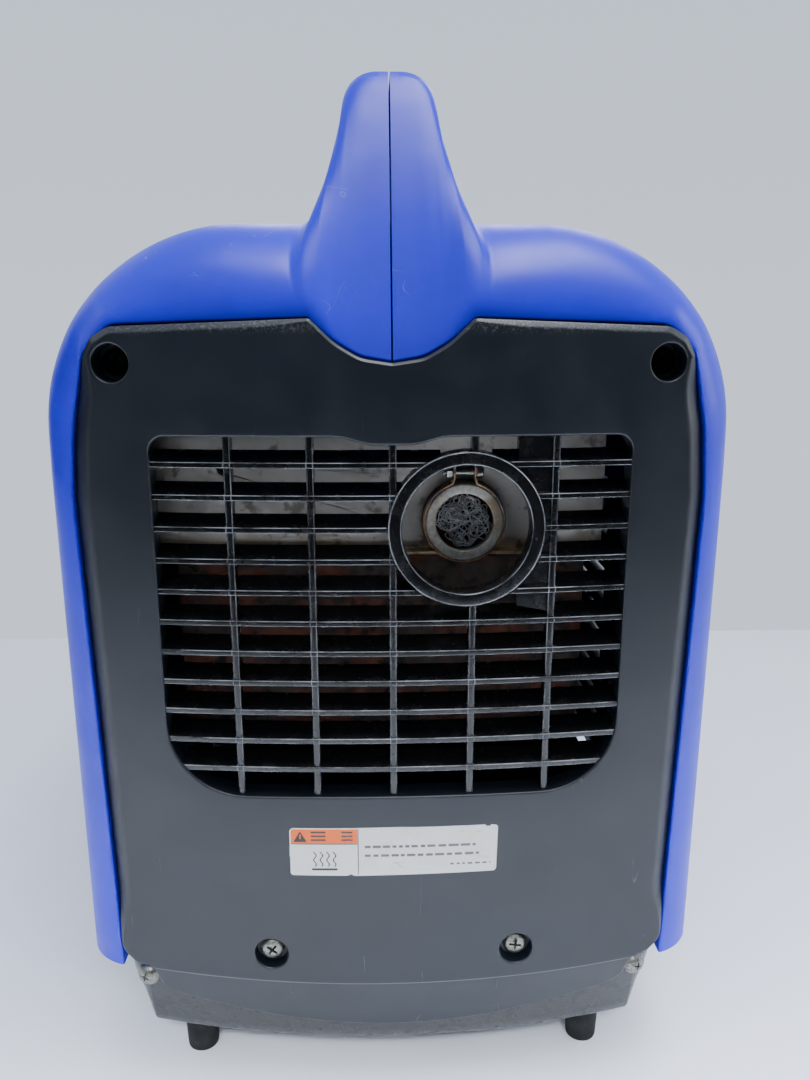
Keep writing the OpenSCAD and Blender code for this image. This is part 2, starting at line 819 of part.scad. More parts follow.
module fuel_tank() {
    color(black) difference() {
        union() {
            tank_form(0);
            translate([neck_x, neck_y, tank_top - 6]) cylinder(r = neck_r, h = neck_top - tank_top + 6);
            translate([62, 172, tank_bottom - 8]) cylinder(r = 5, h = 14);
        }
        tank_form(2.4);
        translate([neck_x, neck_y, tank_top - 12]) cylinder(r = neck_bore, h = 60);
        translate([62, 172, tank_bottom - 9]) cylinder(r = 3, h = 30);
    }
}

module tank_grommet() {
    color(rubber) translate([neck_x, neck_y, 0]) difference() {
        union() {
            translate([0, 0, deck_z - wall]) cylinder(r = 26, h = wall);
            translate([0, 0, deck_z]) cylinder(r = 30, h = 1.4);
            translate([0, 0, tank_top]) cylinder(r = 25, h = deck_z - wall - tank_top);
        }
        translate([0, 0, 360]) cylinder(r = neck_r, h = 40);
    }
}

module fuel_strainer() {
    color("lightgrey") translate([neck_x, neck_y, 0]) difference() {
        union() {
            translate([0, 0, 322]) cylinder(r = 15.2, h = neck_top - 322);
            translate([0, 0, neck_top]) cylinder(r = neck_r, h = 0.8);
        }
        translate([0, 0, 323]) cylinder(r = 14.4, h = 100);
    }
}

cap_r = 29;
cap_z = deck_z + 2;
cap_top = 400;

module fuel_cap() {
    color(black) translate([neck_x, neck_y, 0]) difference() {
        union() {
            translate([0, 0, cap_z]) cylinder(r = cap_r - 1.5, h = cap_top - cap_z);
            translate([0, 0, cap_z + 1]) cylinder(r = cap_r, h = cap_top - cap_z - 3);
        }
        for (a = [0 : 15 : 345]) rotate([0, 0, a]) translate([cap_r + 1, 0, 350]) cylinder(r = 2.2, h = 80);
        translate([0, 0, cap_z - 1]) cylinder(r = 23, h = 7);
        translate([0, 0, cap_top - 4]) cylinder(r = 10.4, h = 5);
        translate([0, 0, 360]) cylinder(r = 3 + fit, h = 80);
    }
}

module cap_gasket() {
    color(rubber) translate([neck_x, neck_y, neck_top + 1.2]) difference() {
        cylinder(r = 22.4, h = 1.5);
        translate([0, 0, -1]) cylinder(r = 13, h = 5);
    }
}

module cap_vent_knob() {
    color("dimgrey") translate([neck_x, neck_y, 0]) {
        translate([0, 0, cap_top - 10]) cylinder(r = 3, h = 8);
        translate([0, 0, cap_top - 3.6]) cylinder(r = 9.6, h = 2.6);
        translate([0, 0, cap_top - 1]) intersection() {
            translate([-9, -2.6, 0]) cube([18, 5.2, 2.6]);
            cylinder(r = 9, h = 3);
        }
    }
}

valve_y = plate_y - 54;

module fuel_valve() {
    color(cast) difference() {
        union() {
            along_y(valve_y - 14, valve_y + 22) rounded(knob_pos[0] - 12, knob_pos[1] - 12, knob_pos[0] + 12,
                                                        knob_pos[1] + 10, 4);
            translate([62, valve_y, knob_pos[1] + 9]) cylinder(r = 3, h = 7);
            translate([62, valve_y, knob_pos[1] - 22]) cylinder(r = 3, h = 12);
        }
        rod_y(valve_y + 8, valve_y + 30, knob_pos[0], knob_pos[1], 4 + fit);
    }
}

hose_z = 238;
hose_r = 4.5;
carb_y = -126;

module fuel_hoses() {
    color(black) difference() {
        union() {
            translate([62, valve_y, knob_pos[1] + 10.5]) cylinder(r = hose_r + 1, h = 5.5);
            translate([62, valve_y, hose_z]) cylinder(r = hose_r, h = knob_pos[1] - 12.2 - hose_z);
            translate([62, valve_y, hose_z]) sphere(hose_r);
            rod_x(-90, 62, valve_y, hose_z, hose_r);
            translate([-90, valve_y, hose_z]) sphere(hose_r);
            rod_y(carb_y, valve_y, -90, hose_z, hose_r);
            translate([-90, carb_y, hose_z]) sphere(hose_r);
            translate([-90, carb_y, 190]) cylinder(r = hose_r, h = hose_z - 190);
        }
        translate([62, valve_y, hose_z + 6]) cylinder(r = 3, h = 100);
        translate([-90, carb_y, 180]) cylinder(r = 2.6, h = 20);
    }
}

// ---------- engine ----------
block_x = [-62, 26];
block_lo = [-42, 62];
block_hi = [62, 205];
bore_x = -18;
head_y = -118;

module engine_block() {
    color(cast) difference() {
        union() {
            along_x(block_x[0], block_x[1]) rounded(block_lo[0], block_lo[1], block_hi[0], block_hi[1], 14);
            rod_y(head_y, block_lo[0] + 2, bore_x, crank_z, 32);
            for (i = [0 : 7]) along_y(head_y + 2 + i * 8.6, head_y + 4.4 + i * 8.6)
                rounded(bore_x - 42, crank_z - 42, bore_x + 42, crank_z + 42, 8);
            along_y(head_y, head_y + 3) rounded(bore_x - 42, crank_z - 42, bore_x + 42, crank_z + 42, 8);
            rod_x(block_x[1], block_x[1] + 4, crank_y, crank_z, 30);
        }
        along_x(block_x[0] + 7, block_x[1] - 7) rounded(block_lo[0] + 7, block_lo[1] + 7, block_hi[0] - 7,
                                                        block_hi[1] - 7, 8);
        rod_y(head_y - 1, block_lo[0] + 20, bore_x, crank_z, 25.5);
        rod_x(block_x[0] + 3, block_x[1] + 10, crank_y, crank_z, shaft_r + fit);
        rod_x(block_x[0] - 1, block_x[0] + 12, 40, 108, 9 + fit);
    }
}

module cylinder_head() {
    color(cast) difference() {
        union() {
            along_y(head_y - 24, head_y) rounded(bore_x - 34, crank_z - 38, bore_x + 34, crank_z + 38, 6);
            for (i = [0 : 2]) along_y(head_y - 5 - i * 8, head_y - 2.6 - i * 8)
                rounded(bore_x - 42, crank_z - 44, bore_x + 42, crank_z + 44, 6);
            translate([bore_x + 6, head_y - 12, crank_z + 36]) cylinder(r = 11.5, h = 10);
        }
        rod_y(head_y - 6, head_y + 1, bore_x, crank_z, 25.5);
        rod_x(bore_x + 20, bore_x + 60, head_y - 12, crank_z, 6);
        rod_x(bore_x + 34, bore_x + 60, head_y - 12, crank_z, 10.5);
        rod_x(bore_x - 60, bore_x - 20, head_y - 12, crank_z + 8, 9);
        translate([bore_x + 6, head_y - 12, crank_z + 20]) cylinder(r = 9, h = 40);
    }
}

module valve_cover() {
    color(black) along_y(head_y - 36, head_y - 24)
        rounded(bore_x - 32, crank_z - 36, bore_x + 32, crank_z + 36, 10);
}

module crankshaft() {
    color(steel) {
        rod_x(block_x[0] + 4, 99, crank_y, crank_z, shaft_r);
        for (x = [bore_x - 20, bore_x + 10]) rod_x(x, x + 10, crank_y, crank_z, 29);
        rod_x(bore_x - 11, bore_x + 11, crank_y, crank_z + 16, 9);
    }
}

rotor_x = [32, 66];

module stator() {
    color("peru") difference() {
        union() {
            rod_x(block_x[1] + 4, 56, crank_y, crank_z, 32);
            for (i = [0 : 11]) translate([0, crank_y, crank_z]) rotate([i * 30, 0, 0]) {
                box([38, -4, 28], [56, 4, 50]);
                box([36, -6.5, 34], [58, 6.5, 44]);
            }
        }
        rod_x(0, 100, crank_y, crank_z, shaft_r + 2);
    }
}

module flywheel_rotor() {
    color(steel) difference() {
        rod_x(rotor_x[0], rotor_x[1], crank_y, crank_z, 72);
        rod_x(rotor_x[0] - 1, rotor_x[1] - 6, crank_y, crank_z, 54);
        rod_x(0, 100, crank_y, crank_z, shaft_r);
    }
}

module cooling_fan() {
    color(black) difference() {
        union() {
            rod_x(rotor_x[1], rotor_x[1] + 3, crank_y, crank_z, 82);
            rod_x(rotor_x[1], rotor_x[1] + 18, crank_y, crank_z, 26);
            for (i = [0 : 15]) translate([0, crank_y, crank_z]) rotate([i * 22.5, 0, 0])
                box([rotor_x[1] + 2, -1.2, 24], [rotor_x[1] + 18, 1.2, 81]);
        }
        rod_x(0, 100, crank_y, crank_z, shaft_r);
    }
}

module starter_cup() {
    color(steel) difference() {
        rod_x(84, 98, crank_y, crank_z, 32);
        rod_x(87, 99, crank_y, crank_z, 29);
        rod_x(0, 100, crank_y, crank_z, shaft_r);
        for (a = [0 : 60 : 300]) translate([0, crank_y, crank_z]) rotate([a, 0, 0])
            box([90, -4, 26], [95, 4, 34]);
    }
}

module spark_plug() {
    color("white") {
        rod_x(bore_x + 21, bore_x + 34, head_y - 12, crank_z, 5.9);
        translate([bore_x + 34, head_y - 12, crank_z]) rotate([0, 90, 0]) cylinder(r = 9, h = 8, $fn = 6);
        rod_x(bore_x + 42, bore_x + 58, head_y - 12, crank_z, 4.6);
    }
}

module plug_cap() {
    color(rubber) difference() {
        union() {
            rod_x(bore_x + 44, bore_x + 78, head_y - 12, crank_z, 8.5);
            translate([bore_x + 78, head_y - 12, crank_z]) sphere(8.5);
            translate([bore_x + 78, head_y - 12, crank_z]) rotate([-60, 0, 0]) cylinder(r = 6, h = 22);
        }
        rod_x(bore_x + 40, bore_x + 58, head_y - 12, crank_z, 4.6);
    }
}

module carburettor() {
    color(cast) difference() {
        union() {
            rod_x(-104, bore_x - 42, head_y - 12, crank_z + 8, 14);
            along_x(-98, -70) rounded(carb_y - 15, crank_z - 14, carb_y + 15, crank_z + 26, 6);
            translate([-84, carb_y, crank_z - 34]) cylinder(r = 13, h = 24);
            translate([-90, carb_y, crank_z + 24]) cylinder(r = 2.6, h = 24);
        }
        rod_x(-110, -30, head_y - 12, crank_z + 8, 9);
    }
}

module oil_filler_cap() {
    color(black) difference() {
        union() {
            rod_x(block_x[0] - 14, block_x[0] - 0.4, 40, 108, 14);
            rod_x(block_x[0] - 1, block_x[0] + 12, 40, 108, 9);
        }
        for (a = [0 : 45 : 315]) translate([0, 40, 108]) rotate([a, 0, 0])
            rod_x(block_x[0] - 15, block_x[0] - 3, 0, 15.5, 3);
    }
}

module engine_mounts() {
    color(rubber) for (p = mount_spots) translate([p[0], p[1], 0]) {
        translate([0, 0, tray_z + tray_t]) cylinder(r = 12, h = block_lo[1] - tray_z - tray_t);
        translate([0, 0, tray_z + 12]) cylinder(r = 15, h = 14);
    }
}

// ---------- air cleaner ----------
cleaner_lo = [-144, 122];
cleaner_hi = [-38, 238];

module air_cleaner_case() {
    color(black) difference() {
        along_x(-121, -104) rounded(cleaner_lo[0], cleaner_lo[1], cleaner_hi[0], cleaner_hi[1], 8);
        along_x(-122, -106.5) rounded(cleaner_lo[0] + 2.5, cleaner_lo[1] + 2.5, cleaner_hi[0] - 2.5,
                                      cleaner_hi[1] - 2.5, 6);
        rod_x(-110, -100, head_y - 12, crank_z + 8, 9);
    }
}

module air_filter_element() {
    color("dimgrey") along_x(-118, -108) rounded(cleaner_lo[0] + 3, cleaner_lo[1] + 3, cleaner_hi[0] - 3,
                                                 cleaner_hi[1] - 3, 6);
}

module air_cleaner_cover() {
    color(black) difference() {
        along_x(-132, -121) rounded(cleaner_lo[0], cleaner_lo[1], cleaner_hi[0], cleaner_hi[1], 8);
        along_x(-130, -120) rounded(cleaner_lo[0] + 2.5, cleaner_lo[1] + 2.5, cleaner_hi[0] - 2.5,
                                    cleaner_hi[1] - 2.5, 6);
        for (i = [0 : 4]) along_x(-140, -125) rounded(-130, 140 + i * 9, -100, 144 + i * 9, 1.9);
    }
}

// ---------- recoil starter ----------
pocket_lo = [76, 98];
pocket_hi = [116, 202];
pocket_x = 109;
rope_y = 96;
rope_z = 150;
rope_r = 2.2;
reel_x = [108, 122];
reel_post = 10;

module recoil_housing() {
    color(charcoal) {
        difference() {
            union() {
                along_x(hw - 4, hw - 1) rounded(window_lo[0] + gap, window_lo[1] + gap, window_hi[0] - gap,
                                                window_hi[1] - gap, window_r - gap);
                // flange that laps behind the shell
                along_x(hw - 6, hw - wall - 0.3) rounded(window_lo[0] - 6, window_lo[1] - 6, window_hi[0] + 6,
                                                         window_hi[1] + 6, window_r + 6);
                along_x(pocket_x - 2.5, hw - 3) rounded(pocket_lo[0] - 2.5, pocket_lo[1] - 2.5, pocket_hi[0] + 2.5,
                                                        pocket_hi[1] + 2.5, 12.5);
                rod_x(102, hw - 3, crank_y, crank_z, 60);
            }
            // the dish that the reel turns in, open towards the engine
            rod_x(101, hw - 6, crank_y, crank_z, 57);
            along_x(pocket_x, hw + 1) rounded(pocket_lo[0], pocket_lo[1], pocket_hi[0], pocket_hi[1], 10);
            rod_x(100, pocket_x + 1, rope_y, rope_z, rope_r + 0.6);
            for (i = [0 : 9]) along_x(hw - 8, hw + 1) difference() {
                rounded(-58, 98 + i * 13.6, 64, 104 + i * 13.6, 2.9);
                translate([crank_y, crank_z]) circle(16);
            }
            for (y = [-44, 64], z = [216]) rod_x(100, hw + 1, y, z + 22, 2.4);
        }
        rod_x(104, hw - 4, crank_y, crank_z, reel_post - fit);
    }
}

module recoil_reel() {
    color(black) difference() {
        union() {
            rod_x(reel_x[0], reel_x[0] + 2.5, crank_y, crank_z, 48);
            rod_x(reel_x[1] - 2.5, reel_x[1], crank_y, crank_z, 48);
            rod_x(reel_x[0], reel_x[1], crank_y, crank_z, 34);
        }
        rod_x(100, 140, crank_y, crank_z, reel_post);
        for (a = [0 : 60 : 300]) translate([0, crank_y, crank_z]) rotate([a, 0, 0])
            rod_x(100, 140, 0, 22, 7);
    }
}

module recoil_grip() {
    color(black) difference() {
        union() {
            along_x(pocket_x + 8, hw - 1.5) rounded(rope_y - 11, rope_z - 44, rope_y + 11, rope_z + 44, 10.5);
            rod_x(pocket_x + 1, pocket_x + 9, rope_y, rope_z, 8);
        }
        rod_x(100, 130, rope_y, rope_z, rope_r);
        for (z = [-32, -24, -16, 16, 24, 32]) translate([hw - 0.6, rope_y - 20, rope_z + z])
            rotate([-90, 0, 0]) cylinder(r = 2, h = 40);
    }
}

module recoil_rope() {
    color("white") rod_x(reel_x[0] - 6, 128, rope_y, rope_z, rope_r);
}

// ---------- exhaust ----------
muffler_lo = [-92, 160];
muffler_hi = [84, 300];
muffler_y = [-208, -162];
seam_z = 254;

module muffler() {
    color([0.4, 0.36, 0.33]) {
        along_y(muffler_y[0], muffler_y[1]) rounded(muffler_lo[0], muffler_lo[1], muffler_hi[0], muffler_hi[1], 18);
        // its seam flange, notched round the tail pipe
        difference() {
            along_x(muffler_lo[0] - 4, muffler_hi[0] + 4)
                rounded(muffler_y[0] - 2.5, seam_z - 5.4, muffler_y[1] + 4, seam_z - 3.4, 0.8);
            rod_y(muffler_y[0] - 10, muffler_y[0], pipe_x, pipe_z, pipe_r + 0.3);
        }
        // inlet pipe, from the cylinder head's port up and back into the muffler
        translate([bore_x + 6, head_y - 12, crank_z + 46]) cylinder(r = 11.5, h = 5);
        translate([bore_x + 6, head_y - 12, crank_z + 50]) cylinder(r = 10, h = 22);
        translate([bore_x + 6, head_y - 12, crank_z + 72]) sphere(10);
        rod_y(muffler_y[1] - 1, head_y - 12, bore_x + 6, crank_z + 72, 10);
    }
}

module muffler_shroud() {
    color(steel) difference() {
        union() {
            along_x(-98, 90) polygon([[-219, seam_z - 2], [-212, seam_z - 2], [-212, 307], [-164, 307], [-164, 308.4],
                                      [-213.4, 308.4], [-213.4, seam_z - 0.6], [-219, seam_z - 0.6]]);
            for (x = [-70, 66], z = [288]) rod_y(-213, muffler_y[0], x, z, 6);
        }
        rod_y(-230, -200, pipe_x, pipe_z, pipe_r + 1.2);
        for (x = [-70, 66], z = [288]) rod_y(-230, -207, x, z, 2.5);
    }
}

pipe_end = -half_l + 25;

module tail_pipe() {
    color(steel) difference() {
        union() {
            rod_y(pipe_end, muffler_y[0], pipe_x, pipe_z, pipe_r);
        }
        rod_y(pipe_end - 1, muffler_y[0] + 1, pipe_x, pipe_z, pipe_r - 3.2);
    }
}

module spark_arrester() {
    color(steel) rod_y(pipe_end + 1.5, pipe_end + 8, pipe_x, pipe_z, pipe_r - 3.2);
}

ear_z = pipe_z + pipe_r;

module arrester_clamp() {
    color(steel) difference() {
        union() {
            rod_y(pipe_end + 0.6, pipe_end + 6, pipe_x, pipe_z, pipe_r + 1.1);
            for (s = [-1, 1]) box([pipe_x + s * 4.4 - 0.6, pipe_end + 0.6, ear_z - 1],
                                  [pipe_x + s * 4.4 + 0.6, pipe_end + 6, ear_z + 8.5]);
        }
        rod_y(pipe_end - 5, pipe_end + 10, pipe_x, pipe_z, pipe_r);
        box([pipe_x - 3.8, pipe_end - 5, pipe_z + 10], [pipe_x + 3.8, pipe_end + 10, ear_z + 20]);
        rod_x(pipe_x - 20, pipe_x + 20, pipe_end + 3.3, ear_z + 4.6, 1.6);
    }
}

module clamp_screw() {
    color(steel) {
        rod_x(pipe_x - 9, pipe_x + 6.4, pipe_end + 3.3, ear_z + 4.6, 1.55);
        rod_x(pipe_x + 5, pipe_x + 8, pipe_end + 3.3, ear_z + 4.6, 2.6);
        translate([pipe_x - 7.6, pipe_end + 3.3, ear_z + 4.6]) rotate([0, 90, 0]) cylinder(r = 2.7, h = 2.6, $fn = 6);
    }
}

left_shell();
right_shell();
rear_panel();
rear_upper_screws();
rear_lower_screws();
rear_label();
base_tray();
tray_bolts();
rubber_feet();
service_cover();
service_screw();
front_cover();
control_plate();
front_screws();
ac_receptacle_upper();
ac_receptacle_lower();
dc_outlet();
dc_breaker();
dc_breaker_button();
eco_switch();
eco_rocker();
engine_knob();
choke_knob();
indicator_lenses();
earth_terminal();
inverter_unit();
fuel_tank();
tank_grommet();
fuel_strainer();
fuel_cap();
cap_gasket();
cap_vent_knob();
fuel_hoses();
fuel_valve();
engine_block();
cylinder_head();
valve_cover();
crankshaft();
flywheel_rotor();
cooling_fan();
stator();
starter_cup();
spark_plug();
plug_cap();
carburettor();
oil_filler_cap();
engine_mounts();
air_cleaner_case();
air_filter_element();
air_cleaner_cover();
recoil_housing();
recoil_reel();
recoil_grip();
recoil_rope();
muffler();
muffler_shroud();
tail_pipe();
spark_arrester();
arrester_clamp();
clamp_screw();
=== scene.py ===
"""Looks for the inverter generator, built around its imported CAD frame."""
import json
import math
import random

import bmesh
import bpy
import numpy as np
from mathutils import Matrix, Vector
from mathutils.geometry import delaunay_2d_cdt


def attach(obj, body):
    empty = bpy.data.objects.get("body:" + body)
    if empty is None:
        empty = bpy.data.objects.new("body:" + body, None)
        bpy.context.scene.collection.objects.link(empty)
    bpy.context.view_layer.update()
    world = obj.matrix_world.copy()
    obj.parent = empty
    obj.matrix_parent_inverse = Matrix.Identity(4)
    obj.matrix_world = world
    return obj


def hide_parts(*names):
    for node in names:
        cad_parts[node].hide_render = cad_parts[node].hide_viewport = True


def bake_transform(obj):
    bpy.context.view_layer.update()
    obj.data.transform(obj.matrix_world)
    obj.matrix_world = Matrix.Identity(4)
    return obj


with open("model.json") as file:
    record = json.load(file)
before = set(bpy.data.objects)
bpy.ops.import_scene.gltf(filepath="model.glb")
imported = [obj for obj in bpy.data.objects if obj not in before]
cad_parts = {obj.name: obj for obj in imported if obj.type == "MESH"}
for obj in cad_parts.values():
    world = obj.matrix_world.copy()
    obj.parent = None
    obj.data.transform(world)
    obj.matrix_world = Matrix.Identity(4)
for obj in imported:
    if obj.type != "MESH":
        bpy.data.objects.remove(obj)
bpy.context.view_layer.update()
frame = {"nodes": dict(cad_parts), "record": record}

MM = 0.001

# Measures that looks and shapes share, in millimetres.
BOW_R, FACE_Y = 774.0, 244.6             # the end faces: bow's radius across, and reach at the middle
CREASE_Z, CREASE_FLAT = 61.8, 2400.0     # their crease: height at the middle, and how slowly it rises
LOUVRE_Z, LOUVRE_PITCH = 165.8, 12.82    # exhaust grille: lowest louvre, and the step to the next
BAR_PITCH = 32.0                         # between its upright bars
RING = (29.2, 268.0)                     # its guard ring's middle, as (x, z)
RING_IN, RING_OUT = 25.8, 31.3

# ---------- materials ----------


class Look:
    """One procedural material, built up on the Principled shader. Sizes are in millimetres."""

    def __init__(self, name, colour, rough=0.5, metal=0.0, **constants):
        self.mat = bpy.data.materials.new(name)
        self.mat.use_nodes = True
        self.tree = self.mat.node_tree
        self.shader = self.tree.nodes["Principled BSDF"]
        self.coords = self.tree.nodes.new("ShaderNodeTexCoord").outputs["Object"]
        self.normal = None
        self.colour = self.rgb(colour)
        self.rough = rough
        self.shader.inputs["Base Color"].default_value = self.colour
        self.shader.inputs["Metallic"].default_value = metal
        self.shader.inputs["Roughness"].default_value = rough
        for key, value in constants.items():
            self.shader.inputs[key.replace("_", " ")].default_value = value

    @staticmethod
    def rgb(colour):
        """A colour given as #rrggbb, in linear light."""
        parts = [int(colour[i:i + 2], 16) / 255 for i in (1, 3, 5)]
        return [p / 12.92 if p < 0.04045 else ((p + 0.055) / 1.055) ** 2.4 for p in parts] + [1]

    def feed(self, socket, value):
        if isinstance(value, bpy.types.NodeSocket):
            self.tree.links.new(value, socket)
        else:
            socket.default_value = value

    def math(self, operation, a, b=0.0, clamp=False):
        node = self.tree.nodes.new("ShaderNodeMath")
        node.operation = operation
        node.use_clamp = clamp
        self.feed(node.inputs[0], a)
        self.feed(node.inputs[1], b)
        return node.outputs[0]

    def noise(self, size, stretch=(1, 1, 1), turn=(0, 0, 0), detail=2.0, shift=0.0, rough=0.55):
        """Noise from 0 to 1, with features about size millimetres across, longer by stretch."""
        place = self.tree.nodes.new("ShaderNodeMapping")
        place.inputs["Rotation"].default_value = [math.radians(a) for a in turn]
        place.inputs["Scale"].default_value = [1 / (size * MM * s) for s in stretch]
        place.inputs["Location"].default_value = (shift, shift * 0.7, shift * 1.3)
        self.tree.links.new(self.coords, place.inputs["Vector"])
        node = self.tree.nodes.new("ShaderNodeTexNoise")
        node.inputs["Scale"].default_value = 1.0
        node.inputs["Detail"].default_value = detail
        node.inputs["Roughness"].default_value = rough
        self.tree.links.new(place.outputs[0], node.inputs["Vector"])
        return node.outputs[0]

    def axis(self, letter):
        """Position along X, Y or Z, in millimetres."""
        node = self.tree.nodes.new("ShaderNodeSeparateXYZ")
        self.tree.links.new(self.coords, node.inputs[0])
        return self.math("MULTIPLY", node.outputs["XYZ".index(letter)], 1000.0)

    def span(self, value, low, high, to_low=0.0, to_high=1.0):
        node = self.tree.nodes.new("ShaderNodeMapRange")
        node.interpolation_type = "SMOOTHSTEP"
        for socket, number in zip(node.inputs, (value, low, high, to_low, to_high)):
            self.feed(socket, number)
        return node.outputs[0]

    def times(self, *values):
        result = values[0]
        for value in values[1:]:
            result = self.math("MULTIPLY", result, value)
        return result

    def most(self, *values):
        result = values[0]
        for value in values[1:]:
            result = self.math("MAXIMUM", result, value)
        return result

    def tint(self, mask, colour):
        """Mixes a colour in where the mask is 1."""
        node = self.tree.nodes.new("ShaderNodeMix")
        node.data_type = "RGBA"
        self.feed(node.inputs["Factor"], mask)
        self.feed(node.inputs["A"], self.colour)
        self.feed(node.inputs["B"], self.rgb(colour))
        self.colour = node.outputs["Result"]
        self.tree.links.new(self.colour, self.shader.inputs["Base Color"])
        return self

    def gloss(self, mask, rough):
        """Moves the roughness towards another value where the mask is 1."""
        node = self.tree.nodes.new("ShaderNodeMix")
        self.feed(node.inputs["Factor"], mask)
        self.feed(node.inputs["A"], self.rough)
        self.feed(node.inputs["B"], rough)
        self.rough = node.outputs["Result"]
        self.tree.links.new(self.rough, self.shader.inputs["Roughness"])
        return self

    def bump(self, height, depth, strength=1.0):
        """Raises the surface by up to depth millimetres."""
        node = self.tree.nodes.new("ShaderNodeBump")
        node.inputs["Strength"].default_value = strength
        node.inputs["Distance"].default_value = depth * MM
        self.feed(node.inputs["Height"], height)
        if self.normal is not None:
            self.tree.links.new(self.normal, node.inputs["Normal"])
        self.normal = node.outputs[0]
        self.tree.links.new(self.normal, self.shader.inputs["Normal"])
        return self

    def lines(self, size, stretch, turn, width, shift=0.0):
        """Thin wandering lines, such as scratches, 1 on the line."""
        flow = self.noise(size, stretch, turn, 1.0, shift)
        return self.near(flow, 0.5, 0.0, width)

    def near(self, value, centre, low, high, top=1.0):
        """A line where the value is at the centre, which fades between low and high away from it."""
        away = self.math("ABSOLUTE", self.math("SUBTRACT", value, centre))
        return self.span(away, low, high, top, 0.0)

    def blotches(self, size, low, high, shift=0.0, detail=3.0):
        return self.span(self.noise(size, detail=detail, shift=shift), low, high)


def moulded(name, colour, rough, tone, grain=0.9, depth=0.012, **constants):
    """A moulded plastic: fine grain, uneven gloss, slow shifts of tone, hairline scratches and dust."""
    look = Look(name, colour, rough, **constants)
    look.tint(look.blotches(60, 0.35, 0.7), tone)
    scratch = look.times(look.lines(17, (1, 1, 7), (8, 12, 0), 0.004),
                         look.blotches(28, 0.56, 0.64, 3.0))
    look.tint(look.times(scratch, 0.25), "#8f949c")
    look.gloss(look.blotches(22, 0.3, 0.75, 5.0), min(1.0, rough * 1.3))
    look.gloss(scratch, min(1.0, rough * 1.5))
    look.bump(look.noise(grain, detail=3.0), depth)
    look.bump(look.noise(14, detail=1.0, shift=2.0), 0.05, 0.35)
    look.bump(scratch, -0.02)
    return look


def blue_shell_look():
    """Royal blue moulding: satin, lightly grained, with a few white scuffs on the handle's foot and seam."""
    look = Look("blue_plastic_moulding", "#060bcb", 0.33, Specular_IOR_Level=0.5)
    look.tint(look.blotches(90, 0.3, 0.75), "#0910d6")
    look.tint(look.times(look.blotches(35, 0.45, 0.8, 7.0), 0.5), "#0509b4")
    near_seam = look.span(look.math("ABSOLUTE", look.axis("X")), 1.0, 14.0, 1.0, 0.0)
    high = look.span(look.axis("Z"), 330, 372, 0.0, 1.0)
    ends = look.span(look.math("ABSOLUTE", look.axis("Y")), 150, 215, 0.2, 1.0)
    worn = look.most(look.times(near_seam, high), look.times(high, ends, 0.6))
    hair = look.most(look.lines(16, (1, 7, 1), (0, 20, 35), 0.0035),
                     look.lines(19, (6, 1, 1), (30, 0, -20), 0.003, 4.0))
    scratch = look.times(hair, look.blotches(21, 0.58, 0.66, 1.0), look.span(worn, 0.0, 1.0, 0.12, 0.8))
    specks = look.times(look.blotches(1.0, 0.75, 0.79, 6.0), look.blotches(30, 0.55, 0.65, 8.0))
    scuff = look.times(look.blotches(2.6, 0.6, 0.72, 11.0, 6.0), look.blotches(30, 0.6, 0.7, 13.0), worn)
    look.tint(look.times(scratch, 0.6), "#8fa2ea")
    look.tint(look.times(specks, 0.5), "#b3c0f2")
    look.tint(look.times(scuff, 0.45), "#93a3e6")
    look.gloss(look.blotches(18, 0.3, 0.7, 15.0), 0.42)
    look.gloss(look.most(scratch, scuff), 0.6)
    look.bump(look.noise(0.8, detail=3.0), 0.014)
    look.bump(look.noise(24, detail=1.0, shift=3.0), 0.08, 0.4)
    return look


def panel_look(name="charcoal_plastic_moulding"):
    """Near-black blue-grey moulding: a sparkling fine grain, a painted highlight along its crease, and pale
    speckles along its top edge.
    """
    look = Look(name, "#0b1119", 0.37, Specular_IOR_Level=0.55)
    look.tint(look.blotches(70, 0.3, 0.7), "#0e151e")
    # painted highlight: a thin pale line along the end faces' crease, where its edge would catch the light
    across = look.math("DIVIDE", look.math("POWER", look.axis("X"), 2.0), CREASE_FLAT)
    off = look.math("SUBTRACT", look.axis("Z"), look.math("ADD", across, CREASE_Z))
    crease = look.times(look.span(look.math("ABSOLUTE", off), 0.1, 0.4, 1.0, 0.0),
                        look.span(look.math("ABSOLUTE", look.axis("Y")), 228, 232))
    hair = look.lines(17, (1, 1, 7), (10, 5, 0), 0.003)
    scratch = look.times(hair, look.blotches(23, 0.6, 0.67, 2.0))
    specks = look.times(look.blotches(0.9, 0.76, 0.8, 6.0), look.blotches(30, 0.5, 0.62, 8.0))
    look.tint(look.times(scratch, 0.3), "#777d86")
    look.tint(look.times(specks, 0.4), "#93979d")
    # the crease's painted highlight
    look.tint(look.times(crease, 0.3), "#8b929b")
    top = look.span(look.axis("Z"), 342.5, 345.5)
    look.tint(look.times(top, look.blotches(0.9, 0.5, 0.65, 3.0), 0.45), "#6d6c66")
    look.gloss(look.blotches(16, 0.3, 0.7, 5.0), 0.44)
    look.gloss(scratch, 0.55)
    look.bump(look.noise(0.75, detail=3.0), 0.016)
    look.bump(look.noise(20, detail=1.0, shift=2.0), 0.05, 0.3)
    return look


